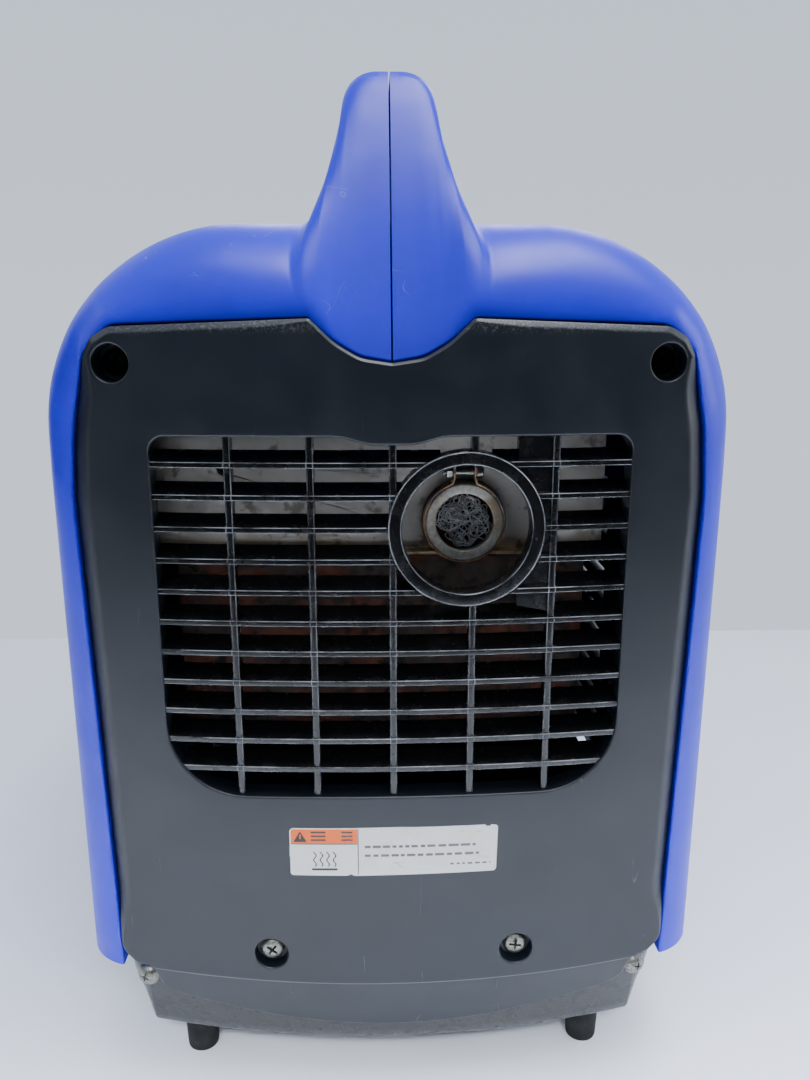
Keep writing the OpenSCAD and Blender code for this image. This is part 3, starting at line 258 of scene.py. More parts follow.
def grille_look():
    """Glossy black moulding, with a painted highlight along the front edges of its louvres, bars and guard
    ring.
    """
    look = Look("black_plastic_grille", "#08090b", 0.2, Specular_IOR_Level=0.6)
    specks = look.times(look.blotches(1.1, 0.72, 0.77, 5.0), look.blotches(25, 0.5, 0.6, 8.0))
    look.tint(look.times(specks, 0.5), "#6f6a61")
    # deep: behind the bowed face; rows and bars: from the nearest louvre and upright
    bow = look.math("DIVIDE", look.math("POWER", look.axis("X"), 2.0), 2 * BOW_R)
    deep = look.math("ADD", look.math("SUBTRACT", look.axis("Y"), bow), FACE_Y)
    rows = look.math("PINGPONG", look.math("SUBTRACT", look.axis("Z"), LOUVRE_Z - 10 * LOUVRE_PITCH),
                     LOUVRE_PITCH / 2)
    bars = look.math("PINGPONG", look.math("ADD", look.axis("X"), 10 * BAR_PITCH), BAR_PITCH / 2)
    # painted highlight: a pale line along each louvre's and bar's front edge, where it would catch the light
    edges = look.most(
        look.times(look.near(rows, 1.05, 0.1, 0.3), look.span(deep, 1.1, 1.5, 1.0, 0.0)),
        look.times(look.near(bars, 1.3, 0.1, 0.35, 0.6), look.span(deep, 2.1, 2.8, 1.0, 0.0)))
    # away: from the guard ring's middle
    aside = look.math("POWER", look.math("SUBTRACT", look.axis("X"), RING[0]), 2.0)
    above = look.math("POWER", look.math("SUBTRACT", look.axis("Z"), RING[1]), 2.0)
    away = look.math("SQRT", look.math("ADD", aside, above))
    # painted highlight round the guard ring's front rims
    painted_rim_highlight = look.most(look.near(away, RING_OUT - 0.4, 0.1, 0.35),
                     look.near(away, RING_IN + 0.4, 0.1, 0.3, 0.7))
    edges = look.most(look.times(edges, look.span(away, RING_OUT + 0.3, RING_OUT + 0.9)),
                      look.times(painted_rim_highlight, look.span(deep, 1.2, 1.6, 1.0, 0.0)))
    # the painted edge highlights, tinted pale
    look.tint(look.times(edges, look.blotches(14, 0.3, 0.7, 2.0, 5.0), 0.8), "#a5a9ae")
    look.gloss(look.blotches(6, 0.35, 0.7, 4.0), 0.3)
    look.bump(look.noise(1.1, detail=3.0), 0.02)
    look.bump(look.noise(7, (3, 1, 1), detail=2.0, shift=4.0), 0.05, 0.5)
    return look


def brushed(name, colour, rough, tone, run=(30, 1, 1), stain=None, **constants):
    """Metal with fine brushing along one axis, uneven polish and a stain."""
    look = Look(name, colour, rough, 1.0, **constants)
    hair = look.noise(0.5, run, detail=4.0)
    look.tint(look.span(hair, 0.3, 0.75), tone)
    if stain:
        look.tint(look.times(look.blotches(14, 0.48, 0.66, 3.0, 5.0), 0.8), stain)
    look.gloss(look.blotches(9, 0.35, 0.7, 6.0), min(1.0, rough + 0.16))
    look.bump(hair, 0.012)
    look.bump(look.noise(6, detail=2.0, shift=4.0), 0.05, 0.5)
    return look


def cast_look(name, colour, rough, tone, metal=0.85):
    """Sand-cast metal: pebbly, slightly stained."""
    look = Look(name, colour, rough, metal)
    look.tint(look.blotches(12, 0.4, 0.7, 2.0, 5.0), tone)
    look.tint(look.times(look.blotches(30, 0.55, 0.7, 8.0, 4.0), 0.6), "#4b4338")
    look.gloss(look.blotches(5, 0.3, 0.7, 5.0), min(1.0, rough + 0.2))
    look.bump(look.noise(1.3, detail=4.0), 0.09)
    return look


def heated(name, base, rough):
    """Exhaust steel, coloured gold, brown and violet-blue by heat round the lower seam."""
    look = Look(name, base, rough, 1.0)
    height = look.math("ADD", look.axis("Z"), look.math("MULTIPLY", look.noise(16, detail=4.0), 14.0))
    look.tint(look.times(look.span(height, 268, 258), 0.8), "#c8a873")
    look.tint(look.times(look.span(height, 258, 253), 0.85), "#8a6237")
    look.tint(look.times(look.span(height, 252, 246), 0.9), "#2b211f")
    look.tint(look.times(look.blotches(7, 0.55, 0.7, 3.0, 5.0), 0.6), "#3c2c22")
    look.gloss(look.blotches(9, 0.35, 0.7, 6.0), min(1.0, rough + 0.25))
    look.bump(look.noise(0.6, (25, 1, 1), detail=3.0), 0.012)
    look.bump(look.noise(9, detail=3.0, shift=3.0), 0.12, 0.6)
    return look


def rusty_look():
    """The muffler's body below its shroud: burnt dark, with reddish rust."""
    look = Look("muffler_steel_burnt", "#3a312c", 0.55, 0.7)
    look.tint(look.blotches(20, 0.42, 0.62, 2.0, 6.0), "#5a3527")
    look.tint(look.blotches(6, 0.5, 0.68, 7.0, 6.0), "#1f1a18")
    look.gloss(look.blotches(5, 0.3, 0.7, 5.0), 0.8)
    look.bump(look.noise(1.6, detail=5.0), 0.1)
    return look


def rubber_look():
    look = Look("rubber_black", "#111213", 0.72, Specular_IOR_Level=0.4)
    look.tint(look.times(look.blotches(6, 0.5, 0.75, 3.0, 5.0), 0.6), "#2c2c2b")
    look.gloss(look.blotches(9, 0.3, 0.7, 2.0), 0.9)
    look.bump(look.noise(0.9, detail=4.0), 0.03)
    return look


def tray_look():
    """Gloss black paint on pressed steel, with orange-peel and a few pale specks; its base is tinted brown,
    with a lighter brown mottle, as a painted reflection of a brown wooden board.
    """
    # the brown tint of the base colour is a painted reflection of a brown board
    look = Look("tray_paint_gloss", "#110d0c", 0.16, 0.0, Coat_Weight=0.3, Coat_Roughness=0.1)
    look.tint(look.times(look.blotches(1.4, 0.7, 0.75, 5.0), look.blotches(18, 0.5, 0.6, 9.0)), "#7c6d5e")
    # lighter brown mottle: painted reflection
    look.tint(look.times(look.blotches(8, 0.45, 0.75, 3.0, 5.0), 0.35), "#241f1d")
    look.gloss(look.blotches(5, 0.4, 0.7, 6.0, 5.0), 0.42)
    look.bump(look.noise(1.6, detail=4.0), 0.1)
    look.bump(look.noise(30, detail=1.0, shift=3.0), 0.2, 0.5)
    return look


def foam_look():
    look = Look("filter_foam_open_cell", "#3b3c3d", 0.95, Sheen_Weight=0.2)
    cells = look.noise(1.6, detail=3.0)
    look.tint(look.span(cells, 0.45, 0.6), "#121313")
    look.bump(cells, 0.5)
    return look


def rope_look():
    """A braided starter cord, white with a dark fleck."""
    look = Look("rope_fibre_braid", "#cfccc2", 0.85, Sheen_Weight=0.3)
    twist = look.noise(1.1, (1.2, 1, 1), (35, 0, 0), 3.0)
    look.tint(look.span(twist, 0.45, 0.62), "#8f8b80")
    look.tint(look.times(look.blotches(1.5, 0.6, 0.66, 4.0), 0.8), "#3a3f55")
    look.bump(twist, 0.3)
    return look


def winding_look():
    look = Look("winding_enamel", "#7c3a16", 0.3, 0.6, Coat_Weight=0.6)
    strand = look.noise(0.8, (1, 1, 1), (0, 45, 0), 2.0)
    look.tint(look.span(strand, 0.4, 0.6), "#a45a26")
    look.gloss(look.blotches(4, 0.4, 0.7), 0.5)
    look.bump(strand, 0.2)
    return look


def film_look(name, colour, tone):
    """Printed film: smooth, a little yellowed and scratched."""
    look = Look(name, colour, 0.38)
    look.tint(look.times(look.blotches(9, 0.45, 0.75, 2.0, 4.0), 0.6), tone)
    nicks = look.times(look.lines(4, (9, 1, 1), (0, 30, 0), 0.012), look.blotches(8, 0.55, 0.62, 4.0))
    look.tint(look.times(nicks, 0.5), "#8d8a84")
    look.gloss(look.blotches(7, 0.3, 0.7, 6.0), 0.5)
    look.bump(look.noise(5, detail=2.0), 0.02, 0.6)
    return look


def screw_look(name, colour, rough, tone):
    """A turned screw: plated or blackened, with tool marks and dirt."""
    look = Look(name, colour, rough, 1.0)
    look.tint(look.blotches(1.2, 0.45, 0.65, 3.0, 5.0), tone)
    look.tint(look.times(look.blotches(2.5, 0.58, 0.7, 7.0, 5.0), 0.7), "#2c2722")
    look.gloss(look.blotches(1.8, 0.4, 0.7, 5.0), min(1.0, rough + 0.25))
    look.bump(look.noise(0.7, detail=3.0), 0.03)
    return look


def bare_lens(name, colour, glow):
    look = Look(name, colour, 0.12, Transmission_Weight=0.25, Coat_Weight=0.5)
    look.tint(look.blotches(3, 0.4, 0.7), glow)
    look.gloss(look.blotches(2, 0.4, 0.7, 3.0), 0.25)
    look.bump(look.noise(0.9, detail=1.0), 0.02)
    return look


LOOKS = {
    "blue_plastic": blue_shell_look(),
    "charcoal_plastic": panel_look(),
    "black_plastic": moulded("black_plastic_moulding", "#101113", 0.4, "#17191b"),
    "black_screw": screw_look("black_screw_oxide", "#17181a", 0.34, "#2b2c2e"),
    "plated_screw": screw_look("plated_screw_zinc", "#8d8d86", 0.34, "#68675f"),
    "label_film": film_look("label_film_white", "#e6e6e2", "#d8d5c8"),
    "tray_paint": tray_look(),
    "foot_rubber": rubber_look(),
    "white_plastic": moulded("white_plastic_moulding", "#d2d1cb", 0.45, "#c4c2b8"),
    "lens_plastic": bare_lens("lens_plastic_amber", "#c24a12", "#e27a1e"),
    "brass_parts": screw_look("brass_parts_turned", "#b08d43", 0.3, "#8c6a2c"),
    "cast_alloy": cast_look("cast_alloy_sand", "#8d8f90", 0.5, "#6f7172"),
    "machined_steel": brushed("machined_steel_turned", "#bcbdbd", 0.36, "#9a9b9c", (1, 8, 8)),
    "winding": winding_look(),
    "muffler_steel": rusty_look(),
    "shroud_steel": heated("shroud_steel_heated", "#bdb8b0", 0.42),
    "pipe_steel": brushed("pipe_steel_worn", "#d8d4ca", 0.58, "#bdb7aa", (3, 3, 3), "#a08d70"),
    "filter_foam": foam_look(),
    "rope_fibre": rope_look(),
}
GRILLE = grille_look()
CLAMP = brushed("clamp_band_heated", "#b8987a", 0.42, "#7b5a44", (14, 14, 14), "#4e5a74")
ORANGE = film_look("label_film_orange", "#f06a1c", "#e05c12")
INK = film_look("label_film_ink", "#2a2b2d", "#3a3b3d")
GREY_INK = film_look("label_film_grey_ink", "#5d5f62", "#6d6f72")
SLOTS = {row["node"]: row["material_slot"] for row in frame["record"]["subparts"]}

# ---------- mesh helpers (millimetres) ----------


def build(name, verts, faces):
    """A smooth-shaded mesh object from points in millimetres."""
    mesh = bpy.data.meshes.new(name)
    mesh.from_pydata([tuple(float(c) * MM for c in v) for v in verts], [], [tuple(f) for f in faces])
    bm = bmesh.new()
    bm.from_mesh(mesh)
    bmesh.ops.remove_doubles(bm, verts=bm.verts, dist=1e-6)
    bmesh.ops.recalc_face_normals(bm, faces=bm.faces)
    bm.to_mesh(mesh)
    bm.free()
    mesh.polygons.foreach_set("use_smooth", [True] * len(mesh.polygons))
    obj = bpy.data.objects.new(name, mesh)
    bpy.context.scene.collection.objects.link(obj)
    return obj


def strip(rows, around=False):
    """Quads between rows of the same number of points; around closes each row on itself."""
    count = len(rows[0])
    faces = []
    for r in range(len(rows) - 1):
        for c in range(count if around else count - 1):
            a, b = r * count + c, r * count + (c + 1) % count
            faces.append((a, b, b + count, a + count))
    return faces


def loft(name, rows, capped=True):
    """A skin through closed rows of points; capped closes its first and last row."""
    n = len(rows[0])
    verts = np.concatenate(rows)
    faces = strip(rows, around=True)
    if capped:
        faces += [tuple(range(n)), tuple(range(len(verts) - n, len(verts)))]
    return build(name, verts, faces)


def settle(obj):
    """Applies the object's modifiers to its mesh."""
    bpy.context.view_layer.update()
    mesh = bpy.data.meshes.new_from_object(obj.evaluated_get(bpy.context.evaluated_depsgraph_get()))
    old = obj.data
    obj.modifiers.clear()
    obj.data = mesh
    mesh.name = obj.name
    bpy.data.meshes.remove(old)
    return obj


def combine(obj, other, operation):
    """A boolean with another object, which is used up."""
    mod = obj.modifiers.new("cut", "BOOLEAN")
    mod.operation = operation
    mod.solver = "MANIFOLD"
    mod.object = other
    settle(obj)
    bpy.data.objects.remove(other)
    return obj


def cut(obj, *others):
    for other in others:
        combine(obj, other, "DIFFERENCE")
    return obj


def join(name, objs):
    """One object out of several, with their materials."""
    bm = bmesh.new()
    mats = []
    for obj in objs:
        for mat in obj.data.materials:
            if mat not in mats:
                mats.append(mat)
    for obj in objs:
        first = len(bm.faces)
        piece = obj.data.copy()
        piece.transform(obj.matrix_world)
        bm.from_mesh(piece)
        bm.faces.ensure_lookup_table()
        for face in bm.faces[first:]:
            if obj.data.materials:
                face.material_index = mats.index(obj.data.materials[face.material_index])
        bpy.data.meshes.remove(piece)
        bpy.data.objects.remove(obj)
    mesh = bpy.data.meshes.new(name)
    bm.to_mesh(mesh)
    bm.free()
    for mat in mats:
        mesh.materials.append(mat)
    result = bpy.data.objects.new(name, mesh)
    bpy.context.scene.collection.objects.link(result)
    return result


def paint(obj, look):
    obj.data.materials.clear()
    obj.data.materials.append(look.mat if isinstance(look, Look) else LOOKS[look].mat)
    return obj


def crisp(obj, angle=32):
    """Smooth shading with the edges sharper than an angle kept, weighted by face size."""
    obj.data.set_sharp_from_angle(angle=math.radians(angle))
    mod = obj.modifiers.new("weighted", "WEIGHTED_NORMAL")
    mod.keep_sharp = True
    return obj


def soften(obj, width, segments=2, angle=35):
    mod = obj.modifiers.new("bevel", "BEVEL")
    mod.width = width * MM
    mod.segments = segments
    mod.limit_method = "ANGLE"
    mod.angle_limit = math.radians(angle)
    mod.harden_normals = False
    return obj


def thicken(obj, depth):
    """Gives an open skin a thickness towards its inside."""
    mod = obj.modifiers.new("wall", "SOLIDIFY")
    mod.thickness = depth * MM
    mod.offset = -1
    return settle(obj)


def place(obj, slot, body="chassis", nodes=()):
    """Hands a finished piece to the frame."""
    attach(obj, body)
    if nodes:
        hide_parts(*nodes)
    return obj


def finish(obj, look, angle, nodes=(), body="chassis", slot=None):
    """Paints a piece, sharpens its edges and hands it to the frame."""
    paint(obj, look)
    crisp(obj, angle)
    return place(obj, slot or look, body, nodes)


def arc(cx, cz, r, a0, a1, count):
    """Points on an arc, angles in degrees."""
    turn = np.radians(np.linspace(a0, a1, count))
    return np.stack([cx + r * np.cos(turn), cz + r * np.sin(turn)], 1)


def rounded_loop(corners, step=3.0):
    """A closed loop through (x, z, radius) corners, with points no further apart than step."""
    points = []
    count = len(corners)
    for i in range(count):
        p0 = np.array(corners[i - 1][:2], float)
        p1 = np.array(corners[i][:2], float)
        p2 = np.array(corners[(i + 1) % count][:2], float)
        a, b = p0 - p1, p2 - p1
        la, lb = np.linalg.norm(a), np.linalg.norm(b)
        a, b = a / la, b / lb
        angle = math.acos(max(-1, min(1, float(a @ b))))
        r = corners[i][2]
        if r <= 0 or angle > math.pi - 0.01:
            points.append(p1)
            continue
        reach = min(r / math.tan(angle / 2), la * 0.49, lb * 0.49)
        r = reach * math.tan(angle / 2)
        middle = p1 + (a + b) / np.linalg.norm(a + b) * (r / math.sin(angle / 2))
        start, end = p1 + a * reach - middle, p1 + b * reach - middle
        t0, t1 = math.atan2(start[1], start[0]), math.atan2(end[1], end[0])
        swing = (t1 - t0 + math.pi) % (2 * math.pi) - math.pi
        n = max(3, int(abs(swing) / math.radians(9)) + 1)
        points.extend(middle + r * np.array([math.cos(t0 + swing * k / n), math.sin(t0 + swing * k / n)])
                      for k in range(n + 1))
    loop = []
    for i, p in enumerate(points):
        q = points[(i + 1) % len(points)]
        n = max(1, math.ceil(np.linalg.norm(q - p) / step))
        loop.extend(p + (q - p) * k / n for k in range(n))
    loop = np.array(loop)
    keep = np.linalg.norm(loop - np.roll(loop, 1, 0), axis=1) > 0.02
    return loop[keep]


def rect(x0, z0, x1, z1, r, step=4.0):
    return rounded_loop([(x0, z0, r), (x1, z0, r), (x1, z1, r), (x0, z1, r)], step)


def widened(box, by):
    """An (x0, z0, x1, z1, radius) box with every side moved out."""
    x0, z0, x1, z1, r = box
    return x0 - by, z0 - by, x1 + by, z1 + by, r + by


def circle(cx, cz, r, count=48):
    return arc(cx, cz, r, 0, 360 * (1 - 1 / count), count)


def outward(loop):
    """Unit normals of a loop, pointing out of the area that it goes round."""
    along = np.roll(loop, -1, 0) - np.roll(loop, 1, 0)
    along /= np.linalg.norm(along, axis=1)[:, None]
    area = np.sum(loop[:, 0] * np.roll(loop[:, 1], -1) - np.roll(loop[:, 0], -1) * loop[:, 1])
    normal = np.stack([along[:, 1], -along[:, 0]], 1)
    return normal if area > 0 else -normal


def grown(loop, amount):
    """A loop moved outwards, or inwards where amount is negative."""
    return loop + outward(loop) * amount


def inside(points, loop):
    """Which points lie within a loop."""
    x, z = points[:, 0][:, None], points[:, 1][:, None]
    ax, az = loop[:, 0][None], loop[:, 1][None]
    bx, bz = np.roll(loop[:, 0], -1)[None], np.roll(loop[:, 1], -1)[None]
    crosses = (az > z) != (bz > z)
    at = ax + (z - az) * (bx - ax) / np.where(bz == az, 1e-9, bz - az)
    return np.sum(crosses & (x < at), 1) % 2 == 1


def tessellate(outer, holes, grid):
    """Triangles over the area between a loop and its holes, through extra grid points."""
    loops = [outer, *holes]
    edges, points = [], []
    for loop in loops:
        n = len(loop)
        edges += [(len(points) + i, len(points) + (i + 1) % n) for i in range(n)]
        points += list(loop)
    rim = np.array(points)
    if len(grid):
        grid = grid[inside(grid, outer)]
        for hole in holes:
            grid = grid[~inside(grid, hole)]
        far = np.array([np.min(np.hypot(*(rim - g).T)) > 1.6 for g in grid], bool)
        points += list(grid[far])
    _, _, faces, sources, _, _ = delaunay_2d_cdt([Vector(p) for p in points], edges, [], 0, 1e-4)
    origin = [source[0] if source else len(points) for source in sources]
    flat = np.array(points)
    kept = []
    for face in faces:
        ids = [origin[i] for i in face]
        if max(ids) >= len(points) or len(set(ids)) < 3:
            continue
        kept.append(ids)
    centres = np.array([flat[ids].mean(0) for ids in kept])
    good = inside(centres, outer)
    for hole in holes:
        good &= ~inside(centres, hole)
    return flat, [ids for ids, ok in zip(kept, good) if ok]


def grid_points(loop, dx, dz, extra=()):
    """A grid over a loop's box, which makes way for extra points."""
    x0, z0 = loop.min(0)
    x1, z1 = loop.max(0)
    grid = np.array([(x, z) for z in np.arange(z0 + dz / 2, z1, dz)
                     for x in np.arange(x0 + dx / 2, x1, dx)])
    if len(extra):
        apart = np.abs(grid[:, None] - extra[None])
        clear = np.min(apart[..., 1] + (apart[..., 0] > 4) * 99, 1)
        grid = np.concatenate([grid[clear > 3], extra])
    return grid


def plate(name, outer, holes, where, dx=9.0, dz=14.0, extra=()):
    """A moulded plate. outer holds rings from the back of its edge to its face, and each hole holds rings
    from the face down. A ring is (loop, depth or depths). where(points, depths) gives places."""
    face_loop = outer[-1][0]
    flat, faces = tessellate(face_loop, [h[0][0] for h in holes], grid_points(face_loop, dx, dz, extra))
    verts = [where(flat, np.zeros(len(flat)))]
    total = len(flat)
    first = len(face_loop)
    rings = [(outer[:-1][::-1], 0, first)]
    for hole in holes:
        rings.append((hole[1:], first, len(hole[0][0])))
        first += len(hole[0][0])
    for chain, begin, count in rings:
        last = [begin + i for i in range(count)]
        for loop, d in chain:
            verts.append(where(loop, np.broadcast_to(np.asarray(d, float), (count,))))
            new = [total + i for i in range(count)]
            total += count
            faces += [(last[i], last[(i + 1) % count], new[(i + 1) % count], new[i]) for i in range(count)]
            last = new
    return build(name, np.concatenate(verts), faces)


def rolled(loop, width, drop, depth, steps=5):
    """Rings of an edge that rolls over, from the back of the edge to the face."""
    normal = outward(loop)
    width = np.broadcast_to(np.asarray(width, float), (len(loop),))
    drop = np.broadcast_to(np.asarray(drop, float), (len(loop),))
    rings = [(loop, depth)]
    for a in np.radians(np.linspace(0, 90, steps + 1)):
        rings.append((loop - normal * (width * (1 - math.cos(a)))[:, None], drop * (1 - math.sin(a))))
    return rings


def dipped(loop, width, depth, steps=3):
    """Rings of a hole whose edge rolls in, from the face down."""
    normal = outward(loop)
    rings = []
    for a in np.radians(np.linspace(90, 0, steps + 1)):
        rings.append((loop + normal * width * (1 - math.cos(a)), width * (1 - math.sin(a))))
    rings.append((loop, depth))
    return rings


def turned(name, profile, centre, axis, steps=96, closed=False):
    """A turned piece. profile is (radius, distance along the axis); axis is a unit vector."""
    axis = Vector(axis)
    side = axis.orthogonal().normalized()
    other = axis.cross(side)
    rows = []
    for k in range(steps):
        a = 2 * math.pi * k / steps
        out = side * math.cos(a) + other * math.sin(a)
        rows.append([Vector(centre) + out * r + axis * h for r, h in profile])
    rows.append(rows[0])
    verts = [p for row in rows for p in row]
    keep = []
    for face in strip(rows, closed):
        spots = []
        for i in face:
            if not any((verts[i] - verts[j]).length < 1e-5 for j in spots):
                spots.append(i)
        if len(spots) > 2:
            keep.append(tuple(spots))
    return build(name, verts, keep)


def tube(name, path, radius, sides=10, closed=False):
    """A round bar along a path of points."""
    path = [Vector(p) for p in path]
    count = len(path)
    up = Vector((0.31, 0.52, 0.79)).normalized()
    rows = []
    for i, p in enumerate(path):
        ahead = path[(i + 1) % count] if closed or i < count - 1 else p
        behind = path[i - 1] if closed or i > 0 else p
        along = (ahead - behind).normalized()
        up = (up - along * up.dot(along)).normalized()
        across = along.cross(up)
        rows.append([p + (up * math.cos(t) + across * math.sin(t)) * radius
                     for t in np.linspace(0, 2 * math.pi, sides, endpoint=False)])
    if closed:
        rows.append(rows[0])
    return loft(name, rows, not closed)


def flared(name, rings, lay):
    """A closed solid through several rings. A ring is (loop, distance along the cut)."""
    return loft(name, [lay(loop, np.broadcast_to(np.asarray(d, float), (len(loop),)))
                       for loop, d in rings])


def along_x(points, x):
    return np.stack([np.broadcast_to(x, (len(points),)), points[:, 0], points[:, 1]], 1)


def along_y(points, y):
    return np.stack([points[:, 0], np.broadcast_to(y, (len(points),)), points[:, 1]], 1)


def along_z(points, z):
    return np.stack([points[:, 0], points[:, 1], np.broadcast_to(z, (len(points),))], 1)


# ---------- the housing's two shells ----------
HALF_L, HALF_W = 245.0, 140.0
SKIRT_Z = 65.0
SEAM = 0.35
DECK_Z = 386.0

# Matching places on the end opening and on the full section: (x, z) there, (x, z) here, how deep the
# section is full, how straight the handle's back is, where the roll starts, and how far it swells
STATIONS = [
    ((SEAM, 332.6), (SEAM, 445.0), 56, 1.0, 0, 0),
    ((12, 334.6), (8, 444.6), 56, 1.0, 0, 0),
    ((22, 340.2), (16.5, 439.5), 55, 0.95, 0, 0.5),
    ((27.5, 345.6), (20.2, 424.0), 54, 0.7, 0, 3.0),
    ((30.3, 348.6), (24.6, 403.0), 52, 0.4, 0, 6.0),
    ((31.6, 349.2), (28.4, 391.0), 50, 0.25, 0, 6.4),
    ((34.5, 349.3), (38.0, 386.2), 48, 0.1, 2, 3.6),
    ((60, 348.4), (60, 386.0), 48, 0.0, 3, 0),
    ((107, 346.6), (116.6, 362.6), 46, 0.0, 4, 0),
    ((114.4, 342.6), (121.3, 357.4), 45, 0.0, 7, 0),
    ((118.2, 335.4), (127.8, 348.4), 43, 0.0, 11, 0),
    ((124.2, 307), (138.25, 322.6), 39, 0.0, 17, 0),
    ((126.4, 280), (140, 290), 36, 0.0, 19.5, 0),
    ((121.8, SKIRT_Z), (140, SKIRT_Z), 36, 0.0, 19.5, 0),
]
FULL = np.concatenate([
    [(SEAM, 445), (5, 445)], arc(5, 431, 14, 84, 6, 10), [(19, 431), (20.2, 424), (21.9, 414), (24.6, 403)],
    [(26.7, 395.6)], arc(37.6, 395.2, 9.2, 200, 268, 8), [(44, 386)], [(60, 386)],
    arc(60, 306, 80, 88, 2, 40), [(140, 306), (140, 290), (140, SKIRT_Z)]])
MOUTH = rounded_loop([
    (SEAM, 332.6, 0), (12, 334.6, 14), (22, 340.2, 30), (31.6, 349.2, 2.5), (107, 346.6, 9),
    (118.2, 335.4, 10), (124.2, 307, 60), (126.4, 280, 60), (121.8, SKIRT_Z, 0), (SEAM, SKIRT_Z, 0)], 1.2)
MOUTH = MOUTH[(MOUTH[:, 1] > SKIRT_Z - 0.01) & ((MOUTH[:, 0] > 20) | (MOUTH[:, 1] > 200))]
MOUTH = MOUTH[~((MOUTH[:, 1] < SKIRT_Z + 0.01) & (MOUTH[:, 0] < 124))]


def along(line, targets, counts):
    """Points along a line between the places nearest to each target, so many in each stretch."""
    steps = np.concatenate([[0], np.cumsum(np.linalg.norm(np.diff(line, axis=0), axis=1))])
    dense = np.linspace(0, steps[-1], 6000)
    spots = np.stack([np.interp(dense, steps, line[:, k]) for k in (0, 1)], 1)
    marks = []
    for target in targets:
        start = marks[-1] if marks else 0
        marks.append(start + int(np.argmin(np.hypot(*(spots[start:] - np.array(target)).T))))
    where = []
    for a, b, n in zip(marks[:-1], marks[1:], counts):
        where.extend(np.linspace(dense[a], dense[b], n, endpoint=False))
    where.append(dense[marks[-1]])
    return np.stack([np.interp(where, steps, line[:, k]) for k in (0, 1)], 1)


COUNTS = [9, 9, 9, 9, 6, 6, 8, 30, 5, 5, 12, 6, 26]
OPENING = along(MOUTH, [s[0] for s in STATIONS], COUNTS)
SECTION = along(FULL, [s[1] for s in STATIONS], COUNTS)
STRETCH = np.concatenate([np.linspace(i, i + 1, n, endpoint=False) for i, n in enumerate(COUNTS)] +
                         [[len(COUNTS)]])


def blended(column):
    """A station's value along the section, eased so that it has no kinks."""
    raw = np.interp(STRETCH, range(len(STATIONS)), [s[column] for s in STATIONS])
    soft = raw.copy()
    for _ in range(6):
        soft[1:-1] = (soft[:-2] + 2 * soft[1:-1] + soft[2:]) / 4
    return soft


FULL_DEPTH, STRAIGHT, START, SWELL = (blended(c) for c in (2, 3, 4, 5))


def quarter_block(name, grid, corners):
    """A closed block under a skin of points; corners are the two ends of its inner edge."""
    n, count = grid.shape[:2]
    corner = n * count
    faces = strip(grid)
    faces.append(tuple(r * count for r in range(n)) + (corner + 1, corner))
    faces.append(tuple(r * count + count - 1 for r in range(n)) + (corner + 1, corner))
    faces.append(tuple(range(count)) + (corner,))
    faces.append(tuple((n - 1) * count + i for i in range(count)) + (corner + 1,))
    return build(name, np.concatenate([grid.reshape(-1, 3), corners]), faces)


def shell_block(name):
    """The right half of the housing as one closed block, with both ends rolled towards their panels."""
    x0, z0 = OPENING.T
    x1, z1 = SECTION.T
    edge_depth = 6.0 + x0 ** 2 / 2200
    reach = np.stack([x1 - x0, z1 - z0], 1)
    lean = reach / np.linalg.norm(reach, axis=1)[:, None]
    rows = []

    def row(x, z, depth):
        rows.append(np.stack([x, -HALF_L + depth, z], 1))

    row(x0, z0, np.full(len(x0), 26.0))
    for a in np.radians((0, 30, 60)):
        ease = 1 - math.cos(a)
        row(x0 + lean[:, 0] * ease, z0 + lean[:, 1] * ease, edge_depth + 1 - math.sin(a))
    ox, oz = x0 + lean[:, 0] * 0.9, z0 + lean[:, 1] * 0.9
    for t in np.linspace(0, 1, 26):
        angle = np.radians(START + (90 - START) * t)
        first = np.radians(START)
        f_round = (np.sin(angle) - np.sin(first)) / (1 - np.sin(first))
        g = (np.cos(first) - np.cos(angle)) / np.cos(first)
        f = (1 - STRAIGHT) * f_round + STRAIGHT * (1 - np.maximum(1 - g, 0) ** 1.35)
        swell = SWELL * np.sin(np.pi * np.clip(f, 0, 1)) ** 1.2
        row(ox + (x1 - ox) * f + swell, oz + (z1 - oz) * f, edge_depth + g * (FULL_DEPTH - edge_depth))
    grid = np.array(rows)
    back = grid[::-1] * np.array([1, -1, 1])
    grid = np.concatenate([grid, back])
    grid[:, 0, 0] = SEAM                       # the seam's face is flat
    grid[:, -1, 2] = SKIRT_Z
    return quarter_block(name, grid, [(SEAM, grid[0, 0, 1], SKIRT_Z), (SEAM, grid[-1, 0, 1], SKIRT_Z)])


def hollow(name, wall):
    """The room inside the right half, open at both ends, below and across the seam."""
    def inward(line):
        d = np.gradient(line, axis=0)
        d /= np.linalg.norm(d, axis=1)[:, None]
        moved = line + np.stack([d[:, 1], -d[:, 0]], 1) * wall
        moved[0] = (-6, moved[0][1])
        return np.concatenate([moved, [(moved[-1][0], 50)]])

    mouth, full = inward(OPENING[::2]), inward(SECTION[::2])
    depth = np.concatenate([FULL_DEPTH[::2], [36]])
    rows = [np.insert(mouth, 1, -262, 1), np.insert(mouth, 1, -HALF_L + 24, 1),
            np.stack([full[:, 0], -HALF_L + depth + 3, full[:, 1]], 1)]
    grid = np.array(rows)
    grid = np.concatenate([grid, grid[::-1] * np.array([1, -1, 1])])
    return quarter_block(name, grid, [(-6, -262, 50), (-6, 262, 50)])


